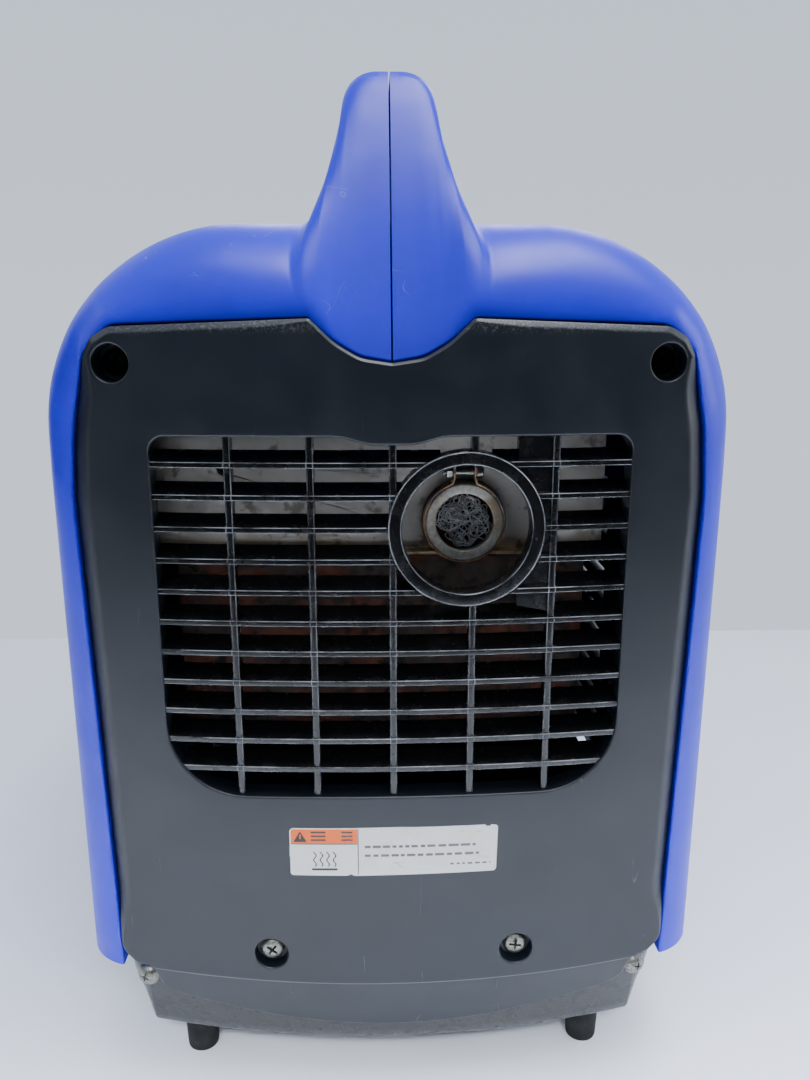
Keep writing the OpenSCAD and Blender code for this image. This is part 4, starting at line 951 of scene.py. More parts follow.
def hand_gap(name, grow, flare):
    """What is cut away between the deck and the grip, with rolled edges where it comes out."""
    end, low, high = 186 + grow, DECK_Z - grow, 416 + grow
    loop = rounded_loop([(-end, low, 11 + grow), (end, low, 11 + grow), (end, high, 14 + grow),
                         (-end, high, 14 + grow)], 6)
    if not flare:
        return flared(name, [(loop, -10), (loop, 60)], along_x)
    # how far out the grip's side is at each height
    edge = np.interp(loop[:, 1], [DECK_Z, 395, 403, 414, 424], [29.0, 26.9, 24.6, 21.9, 20.2])
    normal = outward(loop)
    rings = [(loop, -10.0)]
    for a in np.radians(np.linspace(0, 80, 7)):
        spread = loop + normal * flare * (1 - math.cos(a))
        spread[:, 1] = np.maximum(spread[:, 1], DECK_Z - 0.1)
        rings.append((spread, edge - flare * (1 - math.sin(a)) + 0.1))
    rings.append((rings[-1][0], edge + 26))
    loop[:, 1] = np.maximum(loop[:, 1], DECK_Z - 0.1)
    return flared(name, rings, along_x)


def window_cut(box, roll, sign):
    """A side window's cutter, flared at the face for a rolled edge."""
    loop = rect(*box)
    normal = outward(loop)
    rings = [(loop, sign * 120)]
    for a in np.radians(np.linspace(0, 90, 5)):
        rings.append((loop + normal * roll * (1 - math.cos(a)), sign * (HALF_W - roll * (1 - math.sin(a)))))
    rings.append((rings[-1][0], sign * (HALF_W + 8)))
    return flared("window", rings, along_x)


def mirror_x(obj):
    obj.data.transform(Matrix.Diagonal((-1, 1, 1, 1)))
    obj.data.flip_normals()
    return obj


# The service cover on the left and the starter's window on the right, as (y0, z0, y1, z1, radius), the
# filler neck and the seat of its cap, and the service cover's screw
COVER = (-140, 88, 70, 258, 20)
WINDOW = (-76, 76, 124, 252, 24)
NECK = (-68.0, 40.0)
NECK_SEAT = (*NECK, 364)
COVER_SCREW = (46, 236)


def shells():
    def half(name):
        shell = shell_block(name)
        room = cut(hollow("room", 3.0), hand_gap("wall_round_gap", 3, 0))
        return cut(shell, room, hand_gap("gap", 0, 4.5))

    right = half("housing_right")
    left = half("housing_left")
    mirror_x(left)
    cut(right, window_cut(WINDOW, 1.0, 1))
    seat = turned("seat", [(0, 0), (35, 0), (35, 21), (34.7, 21.8), (34, 22), (0, 22)], NECK_SEAT, (0, 0, 1))
    combine(left, seat, "UNION")
    neck = [(0, -30), (25.6, -30), (25.6, 21.2), (26.6, 22.2), (26.6, 60), (0, 60)]
    cut(left, turned("neck", neck, NECK_SEAT, (0, 0, 1)), window_cut(COVER, 0.9, -1))
    # the ledge that the service cover lies on, and its screw's boss
    ledge = plate("ledge", rolled(rect(*widened(COVER, 5)), 0.4, 0.4, 2.6, 2),
                  [dipped(rect(*widened(COVER, -7)), 0.6, 2.6)], lambda p, d: along_x(p, -136.4 + d), 24, 30)
    thicken(ledge, 1.2)
    boss = turned("boss", [(3.1, 0.6), (3.7, 0), (9.4, 0), (10, 0.6), (10, 3), (3.1, 3)],
                  (-136.6, *COVER_SCREW), (1, 0, 0), 64, True)
    left = join("housing_left", [left, ledge, boss])
    finish(right, "blue_plastic", 40, ["right_shell"])
    finish(left, "blue_plastic", 40, ["left_shell"])


shells()

# ---------- end panels ----------


def fall(x):
    """How far the bowed face has drawn back at a place across it."""
    return BOW_R - np.sqrt(BOW_R ** 2 - np.asarray(x, float) ** 2)


def crease(x):
    """Height of the crease, which rises a little towards the corners."""
    return CREASE_Z + np.asarray(x, float) ** 2 / CREASE_FLAT


def rear(points, depth):
    """A place on the rear face: bowed across, with the lip leaning in under the crease."""
    x, z = points[:, 0], points[:, 1]
    soft = 0.35
    lean = 0.25 * soft * np.log1p(np.exp(np.clip((crease(x) - z) / soft, -60, 60)))
    return np.stack([x, -FACE_Y + fall(x) + depth + lean, z], 1)


def front(points, depth):
    """The same place on the front face, which stands 0.4 mm further out."""
    spot = rear(points, depth)
    spot[:, 1] = 0.4 - spot[:, 1]
    return spot


def panel_loop():
    """An end panel's outline, from the middle of its curved lip round to the handle's foot and back."""
    low = [(x, 347.4 - math.sqrt(312 ** 2 - x * x), 0) for x in np.linspace(0, 101, 18)]
    right = low[1:] + [(104.9, 56.4, 2.0), (108.2, 66.8, 2.0), (115.5, 68.4, 6.0), (121.4, 74.5, 8.0),
                       (125.8, 280, 60), (123.5, 307, 60), (117.5, 335, 7), (114, 342, 5), (107, 346, 9),
                       (31, 349, 2.5), (21.6, 340, 30), (12, 334.4, 14)]
    left = [(-x, z, r) for x, z, r in right[::-1]]
    return rounded_loop([low[0]] + right + [(0, 332.6, 3)] + left, 3.0)


def panel_rings():
    """The panel's rim: it rolls over widely along the sides, a little on top and hardly at the lip."""
    loop = panel_loop()
    x, z = np.abs(loop[:, 0]), loop[:, 1]
    wide = np.select([(x > 40) & (z > 338), (x > 116) & (z > 92) & (z < 330)], [2.8, 7.0], 1.1)
    drop = np.where(wide > 3, 4.6, np.where(wide > 2, 1.8, 1.1))
    for _ in range(8):
        wide = (np.roll(wide, 1) + 2 * wide + np.roll(wide, -1)) / 4
        drop = (np.roll(drop, 1) + 2 * drop + np.roll(drop, -1)) / 4
    back = np.select([z < crease(loop[:, 0]) - 1, x > 116], [2.4, 15.0], 11.0)
    normal = outward(loop)
    rings = [(loop, back)]
    for share, depth in ((0.0, 1.12), (0.03, 1.0), (0.1, 0.88), (0.3, 0.64), (0.6, 0.31), (0.78, 0.12),
                         (0.92, 0.03), (1.1, 0)):
        rings.append((loop - normal * (wide * share)[:, None], drop * depth))
    return rings


def grille_loop(step=3.0):
    right = [(94, 153.6, 32), (94, 305, 6.5), (20, 305, 20), (9, 301.9, 20)]
    left = [(-x, z, r) for x, z, r in right[::-1]]
    return rounded_loop(right + left, step)


CREASE_GRID = np.array([(x, crease(x) + off) for x in np.arange(-105, 106, 6.0)
                        for off in (-5, -2.6, -1.3, -0.7, -0.3, 0.0, 0.3, 0.7, 1.3, 2.6, 5)])
UPPER_SCREW = (106.6, 332.5)
LOWER_SCREW = (54.0, 77.0)


def screw_holes(lower_z):
    holes = []
    for sign in (-1, 1):
        for x, z, r, depth in ((*UPPER_SCREW, 7.2, 11.0), (LOWER_SCREW[0], lower_z, 7.3, 6.2)):
            rings = dipped(circle(sign * x, z, r), 0.8, depth - 0.5)
            rings += [(circle(sign * x, z, r - 0.5), depth), (circle(sign * x, z, 2.2), depth)]
            holes.append(rings)
    return holes


def rear_panel():
    opening = grille_loop()
    skin = plate("rear_panel_moulding", panel_rings(),
                 [dipped(opening, 0.9, 11.0)] + screw_holes(LOWER_SCREW[1]), rear, extra=CREASE_GRID)
    thicken(skin, 2.2)
    pieces = [skin]
    for x in (-45.5, 45.5):
        top = float(crease(x)) - 0.4
        bead = rect(x - 0.5, top - 6.5, x + 0.5, top, 0.45, 3)
        rings = [(bead, 0.8), (bead, -0.05), (grown(bead, -0.25), -0.22)]
        pieces.append(flared("tick", rings, rear))
    obj = join("rear_panel_moulding", pieces)
    finish(obj, "charcoal_plastic", 50, ["rear_panel"])


rear_panel()

# ---------- exhaust grille ----------


def swept(name, profile, xs, z, where):
    """A bar along X with one profile of (depth, height) all the way, closed at both ends."""
    depths = np.array([d for d, _ in profile])
    return loft(name, [where(np.array([(x, z + h) for _, h in profile]), depths) for x in xs])


def upright(name, profile, x, heights, where):
    """An upright bar with one profile of (sideways, depth) all the way, closed at both ends."""
    depths = np.array([d for _, d in profile])
    return loft(name, [where(np.array([(x + s, z) for s, _ in profile]), depths) for z in heights])


def blade_profile(thick, deep, rise, edge):
    """A louvre's section: a flat front with eased edges, and a tapering blade that rises inwards."""
    half = thick / 2
    low = [(edge * (1 - math.sin(a)), -half + edge * (1 - math.cos(a))) for a in np.radians([0, 30, 60, 90])]
    top = [(d, -h) for d, h in low[::-1]]
    return low + top + [(deep * 0.5, half + rise * 0.47), (deep, rise + half * 0.7),
                        (deep, rise - half * 0.7), (deep * 0.5, -half + rise * 0.47)]


def half_width(loop, z):
    """How far a symmetric opening reaches at a height."""
    right = loop[loop[:, 0] > 0]
    near = []
    for a, b in zip(right, np.roll(right, -1, 0)):
        if (a[1] - z) * (b[1] - z) <= 0 and abs(a[1] - b[1]) > 1e-6 and np.linalg.norm(a - b) < 30:
            near.append(a[0] + (z - a[1]) * (b[0] - a[0]) / (b[1] - a[1]))
    return max(near) if near else 0.0


def grille():
    opening = grille_loop()
    blade = [(d + 0.9, h) for d, h in blade_profile(2.2, 10.2, 3.9, 0.35)]
    clear = RING_OUT - 2.4                  # louvres and uprights end within the ring's wall

    def spans(low, high, centre, off):
        """The stretch from low to high, without the ring's inside; off is the distance from its middle."""
        if abs(off) >= clear:
            return [(low, high)]
        gap = math.sqrt(clear ** 2 - off ** 2)
        return [(low, centre - gap), (centre + gap, high)]

    pieces = []
    for i in range(11):
        z = LOUVRE_Z + i * LOUVRE_PITCH
        reach = half_width(opening, z) + 1.2
        for a, b in spans(-reach, reach, RING[0], z + 1 - RING[1]):
            xs = np.linspace(a, b, max(3, int((b - a) / 7)))
            pieces.append(swept("louvre", blade, xs, z, rear))
    # upright bars, a little behind the louvres' fronts; the middle one stops below the opening's notch
    profile = [(-1.5, 8.6), (-1.5, 2.6), (-1.2, 2.0), (-0.6, 1.7), (0.6, 1.7), (1.2, 2.0), (1.5, 2.6),
               (1.5, 8.6)]
    for x in (-2 * BAR_PITCH, -BAR_PITCH, 0, BAR_PITCH, 2 * BAR_PITCH):
        for a, b in spans(154.0, 306.0, RING[1], x - RING[0]):
            top = b if x else min(b, 303.0)
            pieces.append(upright("bar", profile, x, np.linspace(a, top, 3), rear))
    # guard ring round the tail pipe's opening
    profile = [(RING_IN, 9.2), (RING_IN, 1.3), (RING_IN + 0.4, 0.75), (RING_IN + 1.0, 0.5),
               (RING_OUT - 1.0, 0.5), (RING_OUT - 0.4, 0.75), (RING_OUT, 1.3), (RING_OUT, 9.2)]
    depths = np.array([d for _, d in profile])
    steps = 128
    rows = []
    for k in range(steps + 1):
        a = 2 * math.pi * k / steps
        circle_points = [(RING[0] + r * math.cos(a), RING[1] + r * math.sin(a)) for r, _ in profile]
        rows.append(rear(np.array(circle_points), depths))
    pieces.append(loft("ring", rows, capped=False))
    # solid web between the ring and the next bar
    web = rounded_loop([(50, 236, 0.5), (64, 233, 0.5), (64, 304.5, 0.5), (49, 304.5, 0.5)] +
                       [(RING[0] + 29 * math.cos(a), RING[1] + 29 * math.sin(a), 0)
                        for a in [math.radians(turn) for turn in np.linspace(46, -46, 12)]], 4)
    pieces.append(flared("web", [(web, 3.2), (web, 8.2)], rear))
    finish(join("rear_grille", pieces), GRILLE, 40, slot="black_plastic")


grille()

# ---------- screws ----------


def cross_head(name, r, h, recess):
    """A pan-head screw along +Y with its top at the origin, and a cross recess."""
    profile = [(0, 0), (r * 0.45, 0.02 * h), (r * 0.75, h * 0.09), (r * 0.92, h * 0.28), (r, h * 0.55),
               (r, h * 0.92), (r * 0.96, h), (r * 0.45, h), (r * 0.43, h + 6), (0, h + 6.5)]
    head = turned(name, profile, (0, 0, 0), (0, 1, 0), 64)
    w, t = recess, recess * 0.2
    loop = np.array([(-w, -t), (w, -t), (w, t), (-w, t)])
    return crossed(head, [(loop * 1.08, -1.0), (loop, 0.0), (loop * 0.45, h * 0.75)], (0, 90))


def crossed(head, rings, turns):
    """Cuts the same slot into a screw's head at each turn, in degrees."""
    for turn in turns:
        arm = flared("arm", rings, along_y)
        arm.data.transform(Matrix.Rotation(math.radians(turn), 4, "Y"))
        cut(head, arm)
    return head


def screws(name, slot, spots, size, node, flip=False):
    """Screws of one (radius, height, recess) size at (x, y, z, turn) spots; flip makes them face +Y."""
    pieces = []
    for k, (x, y, z, turn) in enumerate(spots):
        head = cross_head(f"{name}_{k}", *size)
        spin = Matrix.Rotation(math.radians(turn), 4, "Y")
        face = Matrix.Rotation(math.pi if flip else 0, 4, "Z")
        head.data.transform(Matrix.Translation(Vector((x, y, z)) * MM) @ face @ spin)
        pieces.append(head)
    finish(join(name, pieces), slot, 40, [node])


BLACK_SIZE, PLATED_SIZE = (5.0, 3.0, 2.7), (5.15, 3.4, 2.8)
UPPER_SUNK, LOWER_SUNK = 7.6, 2.4           # how far the heads stand behind the bowed face
upper_x, upper_z = UPPER_SCREW
lower_x, lower_z = LOWER_SCREW
screws("rear_screws_black", "black_screw",
       [(s * upper_x, fall(upper_x) - FACE_Y + UPPER_SUNK, upper_z, t) for s, t in ((-1, 20), (1, 42))],
       BLACK_SIZE, "rear_upper_screws")
screws("rear_screws_plated", "plated_screw",
       [(s * lower_x, fall(lower_x) - FACE_Y + LOWER_SUNK, lower_z, t) for s, t in ((-1, 38), (1, 8))],
       PLATED_SIZE, "rear_lower_screws")
screws("front_screws_black", "black_screw",
       [(s * upper_x, HALF_L - fall(upper_x) - UPPER_SUNK, upper_z, t) for s, t in ((-1, 10), (1, 33))] +
       [(s * lower_x, HALF_L - fall(lower_x) - LOWER_SUNK, lower_z - 6, t) for s, t in ((-1, 25), (1, 5))],
       BLACK_SIZE, "front_screws", flip=True)

# ---------- tail pipe, arrester and clamp ----------
PIPE = (30.4, 266.0)


def exhaust():
    rim = [(16.3, 12), (16.3, 0.8), (16.1, 0.25), (15.6, 0.0), (12.7, 0.0), (12.25, 0.2), (12.05, 0.7),
           (12.05, 2.0), (12.9, 2.6), (12.9, 12)]
    pipe = turned("tail_pipe_end", rim, (PIPE[0], -220, PIPE[1]), (0, 1, 0), 128, True)
    finish(pipe, "pipe_steel", 60, ["tail_pipe"])

    rng = random.Random(41)
    coils = []
    for k in range(64):
        size = rng.uniform(2.0, 5.0)
        reach = 11.8 - size
        r, a = reach * rng.random() ** 0.28, rng.uniform(0, 2 * math.pi)
        cx, cz, cy = PIPE[0] + r * math.cos(a), PIPE[1] + r * math.sin(a), rng.uniform(-217.6, -215.2)
        tilt = (Matrix.Rotation(rng.uniform(-0.5, 0.5), 3, "X") @
                Matrix.Rotation(rng.uniform(-0.5, 0.5), 3, "Z"))
        squash, turn, wave = rng.uniform(0.55, 1.0), rng.uniform(0, 3.1), rng.uniform(0, 6.2)
        path = []
        for t in np.linspace(0, 2 * math.pi, 22, endpoint=False):
            wobble = 1 + 0.16 * math.sin(3 * t + wave) + 0.08 * math.sin(5 * t)
            u, v = size * wobble * math.cos(t), size * wobble * squash * math.sin(t)
            p = tilt @ Vector((u * math.cos(turn) - v * math.sin(turn), 0,
                               u * math.sin(turn) + v * math.cos(turn)))
            path.append((cx + p.x, min(-213.2, max(-218.9, cy + p.y)), cz + p.z))
        coils.append(tube(f"coil_{k}", path, 0.27, 6, True))
    wool = join("arrester_wool", coils)
    paint(wool, "machined_steel")
    place(wool, "shroud_steel")
    disc = turned("arrester_backing", [(0, 0), (12.4, 0), (12.7, 0.4), (12.7, 5), (0, 5)],
                  (PIPE[0], -213.4, PIPE[1]), (0, 1, 0), 64)
    paint(disc, "muffler_steel")
    crisp(disc)
    place(disc, "shroud_steel", "chassis", ["spark_arrester"])

    # band: open at the top, where its two ears stand up
    ear, band_r, ear_z = 4.4, 16.9, (290.6, 287.5, 284.6)
    start = math.degrees(math.acos(ear / band_r)) - 3
    path = [(PIPE[0] + ear, z) for z in ear_z]
    path += [(PIPE[0] + band_r * math.cos(math.radians(a)), PIPE[1] + band_r * math.sin(math.radians(a)))
             for a in np.linspace(start, -180 - start, 72)]
    path += [(PIPE[0] - ear, z) for z in ear_z[::-1]]
    line = np.array(path)
    normal = np.gradient(line, axis=0)
    normal /= np.linalg.norm(normal, axis=1)[:, None]
    normal = np.stack([-normal[:, 1], normal[:, 0]], 1)
    section = [(-0.45, -219.3), (-0.15, -219.4), (0.15, -219.4), (0.5, -219.2), (0.5, -214.2), (0.2, -214.0),
               (-0.2, -214.0), (-0.45, -214.2)]
    rows = [np.array([(p[0] + n[0] * o, y, p[1] + n[1] * o) for o, y in section])
            for p, n in zip(line, normal)]
    band = loft("arrester_band", rows)
    finish(band, CLAMP, 50, ["arrester_clamp"], slot="shroud_steel")

    spot = (PIPE[0], -216.7, 286.9)
    shank = [(0, -9.2), (1.2, -9.2), (1.5, -8.9), (1.5, 6), (0, 6)]
    head = [(0, 8), (1.6, 8), (2.4, 7.6), (2.7, 6.9), (2.7, 5), (0, 5)]
    nut = [(0, -7.7), (2.3, -7.7), (2.7, -7.4), (2.7, -5.4), (2.3, -5.1), (0, -5.1)]
    bolt = join("clamp_bolt", [turned("clamp_turned", profile, spot, (1, 0, 0), steps)
                               for profile, steps in ((shank, 24), (head, 32), (nut, 6))])
    finish(bolt, "plated_screw", 30, ["clamp_screw"], slot="shroud_steel")


exhaust()

# ---------- label ----------


def label():
    def film(name, loop, lift, look, depth=0.0):
        flat, faces = tessellate(loop, [], grid_points(loop, 5, 5))
        obj = build(name, rear(flat, np.full(len(flat), -lift)), faces)
        mod = obj.modifiers.new("wall", "SOLIDIFY")
        mod.thickness = (lift + 0.05 if depth == 0 else depth) * MM
        mod.offset = -1
        settle(obj)
        return paint(obj, look)

    # generic: an orange band with a plain triangle, waves of heat over a bar, and rows of dashes
    base = rounded_loop([(-44.3, 116.8, 1.4), (-20, 116.6, 1), (-18.5, 117.3, 0.4), (-16.8, 116.5, 0.4),
                         (44.0, 117.2, 1.6), (44.4, 138.9, 1.2), (41.5, 139.4, 0.3), (41.2, 138.7, 0.3),
                         (39.4, 138.7, 0.3), (39.0, 139.4, 0.3), (-43.4, 139.2, 0.8), (-44.4, 138.0, 0.8)], 3)
    pieces = [film("film", base, 0.22, "label_film")]
    orange = rounded_loop([(-43.9, 132.0, 0.2), (-15.6, 132.0, 0.2), (-15.6, 138.8, 0.2), (-43.2, 138.8, 0.5),
                           (-43.9, 137.8, 0.4)], 3)
    pieces.append(film("band", orange, 0.27, ORANGE, 0.12))
    triangle = rounded_loop([(-42.8, 132.8, 0.3), (-37.0, 132.8, 0.3), (-39.9, 137.9, 0.3)], 3)
    pieces.append(film("triangle", triangle, 0.31, INK, 0.1))
    notch = rounded_loop([(-40.2, 134.2, 0.1), (-39.6, 134.2, 0.1), (-39.5, 136.4, 0.1),
                          (-40.3, 136.4, 0.1)], 3)
    pieces.append(film("notch", notch, 0.34, ORANGE, 0.1))
    for x0, x1 in ((-35.4, -29.0), (-22.4, -17.6)):
        for z in (133.4, 135.2, 137.0):
            pieces.append(film("dash", rect(x0, z, x1, z + 0.75, 0.3), 0.31, INK, 0.1))
    for box in ((-15.5, 117.0, -15.1, 138.9, 0.1), (-43.9, 131.6, -15.5, 132.0, 0.1),
                (-35.2, 119.2, -24.2, 120.2, 0.3)):
        pieces.append(film("rule", rect(*box), 0.29, INK, 0.1))
    for k in range(4):
        x = -33.8 + k * 2.8
        wave = [(x + 0.55 * math.sin(t * 2.3), 121.0 + t * 1.55) for t in np.linspace(0, 4.6, 14)]
        loop = np.array([(a + 0.28, b) for a, b in wave] + [(a - 0.28, b) for a, b in wave[::-1]])
        pieces.append(film(f"wave_{k}", loop, 0.29, INK, 0.1))
    rng = random.Random(7)
    for z, x, x_end, height, widths in ((130.4, -12.5, 35.0, 1.9, (1.6, 4.6)),
                                        (126.2, -12.5, 36.5, 1.9, (1.6, 4.6)),
                                        (121.4, 24.0, 41.5, 1.3, (1.2, 2.4))):
        while x < x_end:
            w = rng.uniform(*widths)
            mark = rect(x, z - height * 0.3, min(x + w, x_end), z + height * 0.3, 0.35)
            pieces.append(film("mark", mark, 0.29, GREY_INK, 0.1))
            x += w + rng.uniform(0.7, 1.3)
    obj = join("rear_label_film", pieces)
    crisp(obj, 30)
    place(obj, "label_film", "chassis", ["rear_label"])


# ---------- base ----------


BOLT = (114.6, 221.4, 51)
FOOT = (94, 207)


def base():
    # the rim: bowed ends, tight corners, and sides that ease out to their full width
    x = np.linspace(0, 115.5, 26)
    bow = np.stack([x, np.sqrt(470 ** 2 - x ** 2) - 233], 1)
    quarter = np.concatenate([bow, arc(112, 209, 14, 74, 4, 10),
                              [(128.6, 190), (130.4, 170), (131, 150), (131, 100), (131, 50), (131, 0)]])
    rim = np.concatenate([quarter, (quarter * (1, -1))[::-1][1:], (quarter * (-1, -1))[1:],
                          (quarter * (-1, 1))[::-1][1:-1]])
    normal = outward(rim)
    share = normal ** 2
    # the pressing's outside from its floor up, over the rim and down its inside: height, and how far in the
    # sides and the ends are
    outline = []
    for z, side, end in ((20.0, 17.0, 10.5), (20.5, 14.2, 7.8), (22.2, 12.8, 6.5), (26, 11.2, 5.7),
                         (33, 8.4, 4.5), (38, 6.4, 3.8), (43, 4.2, 3.0), (50, 2.2, 2.0), (57, 1.0, 1.1),
                         (64, 0.2, 0.3), (66.6, 0.1, 0.1), (67, 0.5, 0.5), (67, 1.6, 1.6), (66.6, 2.1, 2.1),
                         (64, 2.3, 2.4), (50, 4.3, 4.1), (42, 6.5, 5.2), (26, 13.4, 7.9), (22.8, 17, 10.5),
                         (22, 22, 15)):
        outline.append((rim - normal * (side * share[:, 0] + end * share[:, 1])[:, None], z))
    tray = flared("base_tray_pressing", outline, along_z)
    for x in range(-60, 61, 15):
        slot = rect(x - 2.5, -60, x + 2.5, -20, 2.2, 10)
        cut(tray, flared("slot", [(slot, 0.0), (slot, 60.0)], along_z))
    finish(tray, "tray_paint", 35, ["base_tray"])

    # bolts with domed heads, and their cross recess
    profile = [(0, -3.1), (1.5, -3.0), (3.0, -2.5), (4.4, -1.6), (5.3, -0.6), (5.6, 0.2), (5.6, 0.9),
               (3, 1.0), (3, 9), (0, 9)]
    wide = np.array([(-2.5, -.45), (2.5, -.45), (2.5, .45), (-2.5, .45)])
    narrow = np.array([(-1.6, -.3), (1.6, -.3), (1.6, .3), (-1.6, .3)])
    heads = []
    for sx in (-1, 1):
        for sy in (-1, 1):
            head = crossed(turned("bolt", profile, (0, 0, 0), (0, 1, 0), 48), [(wide, -5.0), (narrow, -1.5)],
                           (12, 102))
            spin = Matrix.Rotation(math.radians(-20 * sx * sy), 4, "Z")
            face = Matrix.Rotation(0 if sy < 0 else math.pi, 4, "Z")
            spot = Vector((sx * BOLT[0], sy * BOLT[1], BOLT[2]))
            head.data.transform(Matrix.Translation(spot * MM) @ spin @ face)
            heads.append(head)
    finish(join("tray_round_bolts", heads), "plated_screw", 40, ["tray_bolts"])

    profile = [(0, 0.9), (3.2, 0.9), (3.6, 0.0), (6.6, 0.0), (7.2, 0.5), (7.4, 1.6), (8.1, 18.8), (8.2, 19.6),
               (7.9, 20.0), (4, 20.0), (4, 22.0), (7, 22.1), (6.6, 24), (4.4, 28), (0, 28.2)]
    feet = [turned("foot", profile, (x, y, 0), (0, 0, 1), 48)
            for x in (-FOOT[0], FOOT[0]) for y in (-FOOT[1], FOOT[1])]
    finish(join("rubber_foot_set", feet), "foot_rubber", 40, ["rubber_feet"])


# ---------- service cover, on the left ----------


def service_cover():
    loop = rect(*widened(COVER, -0.5), 5)
    holes = [dipped(rect(-122, 112 + i * 12, -62, 117 + i * 12, 2.4), 0.7, 3.0) for i in range(6)]
    knob = dipped(circle(*COVER_SCREW, 9.1), 0.7, 1.5)
    knob += [(circle(*COVER_SCREW, 3.2), 1.6), (circle(*COVER_SCREW, 3.1), 4.0)]
    skin = plate("service_cover_moulding", rolled(loop, 1.0, 1.0, 3.0, 4), holes + [knob],
                 lambda p, d: along_x(p, -HALF_W + d), 22, 26)
    thicken(skin, 1.4)
    # two raised ribs, above and below the vents
    ribs = []
    for z in (108, 184):
        bead = rect(-126, z - 1.2, -58, z + 1.2, 1.1)
        ribs.append(flared("rib", [(bead, -137.4), (grown(bead, -0.2), -136.9)], along_x))
    obj = join("service_cover_moulding", [skin] + ribs)
    finish(obj, "blue_plastic", 40, ["service_cover"], "side_cover")

    profile = [(0, 0.0), (7.6, 0.0), (8.3, 0.25), (8.6, 0.8), (8.6, 1.35), (3, 1.4), (3, 5.2), (2.4, 5.4),
               (0, 5.4)]
    screw = turned("service_screw_head", profile, (-139.8, *COVER_SCREW), (1, 0, 0), 64)
    kerf = rect(40, 235.3, 52, 236.7, 0.2)
    slot = flared("slot", [(grown(kerf, 0.15), -142.0), (kerf, -139.0)], along_x)
    cut(screw, slot)
    finish(screw, "black_plastic", 40, ["service_screw"], "cover_screw")


# ---------- recoil starter, on the right ----------


CRANK = (10, 150)                 # the crankshaft's middle, as (y, z)
ROPE = (96, 150)                  # the starter rope's


def recoil_side():
    loop = rect(*widened(WINDOW, -0.5), 5)
    # the vents' slots: how far each is above the lowest, and its ends; the middle ones leave room for the hub
    slots = []
    for step in [i * 13.6 for i in range(10)]:
        spans = [(-58, -9), (29, 64)] if 28 < step < 70 else [(-58, 64)]
        slots += [(step, a, b) for a, b in spans]
    holes = [dipped(rect(a, 98 + step, b, 104 + step, 2.9), 0.8, 6.0) for step, a, b in slots]
    pocket = rect(76, 98, 116, 202, 10)
    deeper = [(pocket, 22.0), (grown(pocket, -0.8), 28.2), (grown(pocket, -3), 30.0)]
    holes.append(dipped(pocket, 1.6, 8.0) + deeper)
    for y in (-44, 64):
        holes.append(dipped(circle(y, 238, 2.4, 24), 0.5, 5.0))
    skin = plate("recoil_cover_moulding", rolled(loop, 1.2, 1.2, 5.0, 4), holes,
                 lambda p, d: along_x(p, HALF_W - 1.0 - d), 16, 22)
    floor = plate("pocket_floor", [(grown(pocket, -2.5), 0.6), (grown(pocket, -3), 0.0)],
                  [dipped(circle(*ROPE, 2.9, 32), 0.8, 2.0)], lambda p, d: along_x(p, 109.0 - d), 16, 22)
    thicken(skin, 1.6)
    thicken(floor, 1.2)
    hub = [(0, 0), (14.0, 0), (14.8, -0.5), (15, -1.4), (12.4, -1.4), (12.2, -0.9), (11.6, -0.9), (11.4, 0.1),
           (11.2, 0.4), (0, 0.4)]
    pieces = [skin, floor, turned("hub", hub, (139.1, *CRANK), (1, 0, 0), 64)]
    # a slanted blade in every slot
    for step, a, b in slots:
        z = 99.5 + step
        line = [(132.2, z + 6.6), (133.0, z + 7.2), (137.8, z + 0.4), (137.2, z - 0.2)]
        pieces.append(loft("blade", [np.array([(x, y, up) for x, up in line])
                                     for y in np.linspace(a - 1, b + 1, 4)]))
    obj = join("recoil_cover_moulding", pieces)
    finish(obj, "charcoal_plastic", 40, ["recoil_housing"])

    # grip: a rounded bar with finger ridges at both ends
    half, sides = 44, 40
    turn = np.linspace(0, 2 * math.pi, sides, endpoint=False)
    c, s = np.cos(turn), np.sin(turn)
    rows = []
    for z in np.linspace(-half, half, 2 * half + 1):
        end = max((1 - min(1.0, abs(z) / half) ** 7) ** 0.42, 0.22)
        groove = max(math.exp(-((abs(z) - g) / 1.5) ** 2) for g in (16, 24, 32)) * 0.75
        ry, rx = 11.0 * (0.55 + 0.45 * end) - groove, 10.75 * (0.6 + 0.4 * end) - groove
        if abs(z) > half - 0.1:
            ry, rx = 4.5, 5.0
        y = ROPE[0] + ry * np.sign(c) * np.abs(c) ** 0.62
        x = 127.75 + rx * np.sign(s) * np.abs(s) ** 0.62
        rows.append(np.stack([x, y, np.full(sides, ROPE[1] + z)], 1))
    stem = turned("stem", [(2.4, -7.6), (6.6, -7.6), (7.6, -6.8), (8.0, -5.6), (8.0, 2.5), (2.4, 2.5)],
                  (117.6, *ROPE), (1, 0, 0), 48, True)
    knot = turned("knot", [(0, 0.9), (1.6, 0.7), (2.6, 0.1), (3.0, -0.6), (0, -0.6)], (138.2, *ROPE),
                  (1, 0, 0), 32)
    obj = join("recoil_grip_moulding", [loft("grip", rows), stem, knot])
    finish(obj, "black_plastic", 60, ["recoil_grip"], "starter_grip")

    # rope: its radius wavers like three strands that turn along it
    rows = []
    for x in [102.0 + k * 0.25 for k in range(105)]:
        rows.append([(x, ROPE[0] + r * math.cos(t), ROPE[1] + r * math.sin(t))
                     for t in np.linspace(0, 2 * math.pi, 16, endpoint=False)
                     for r in [2.0 + 0.2 * math.sin(3 * t + x * 1.9)]])
    rope = loft("recoil_rope_braid", rows)
    paint(rope, "rope_fibre")
    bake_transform(rope)
    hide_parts("recoil_rope")


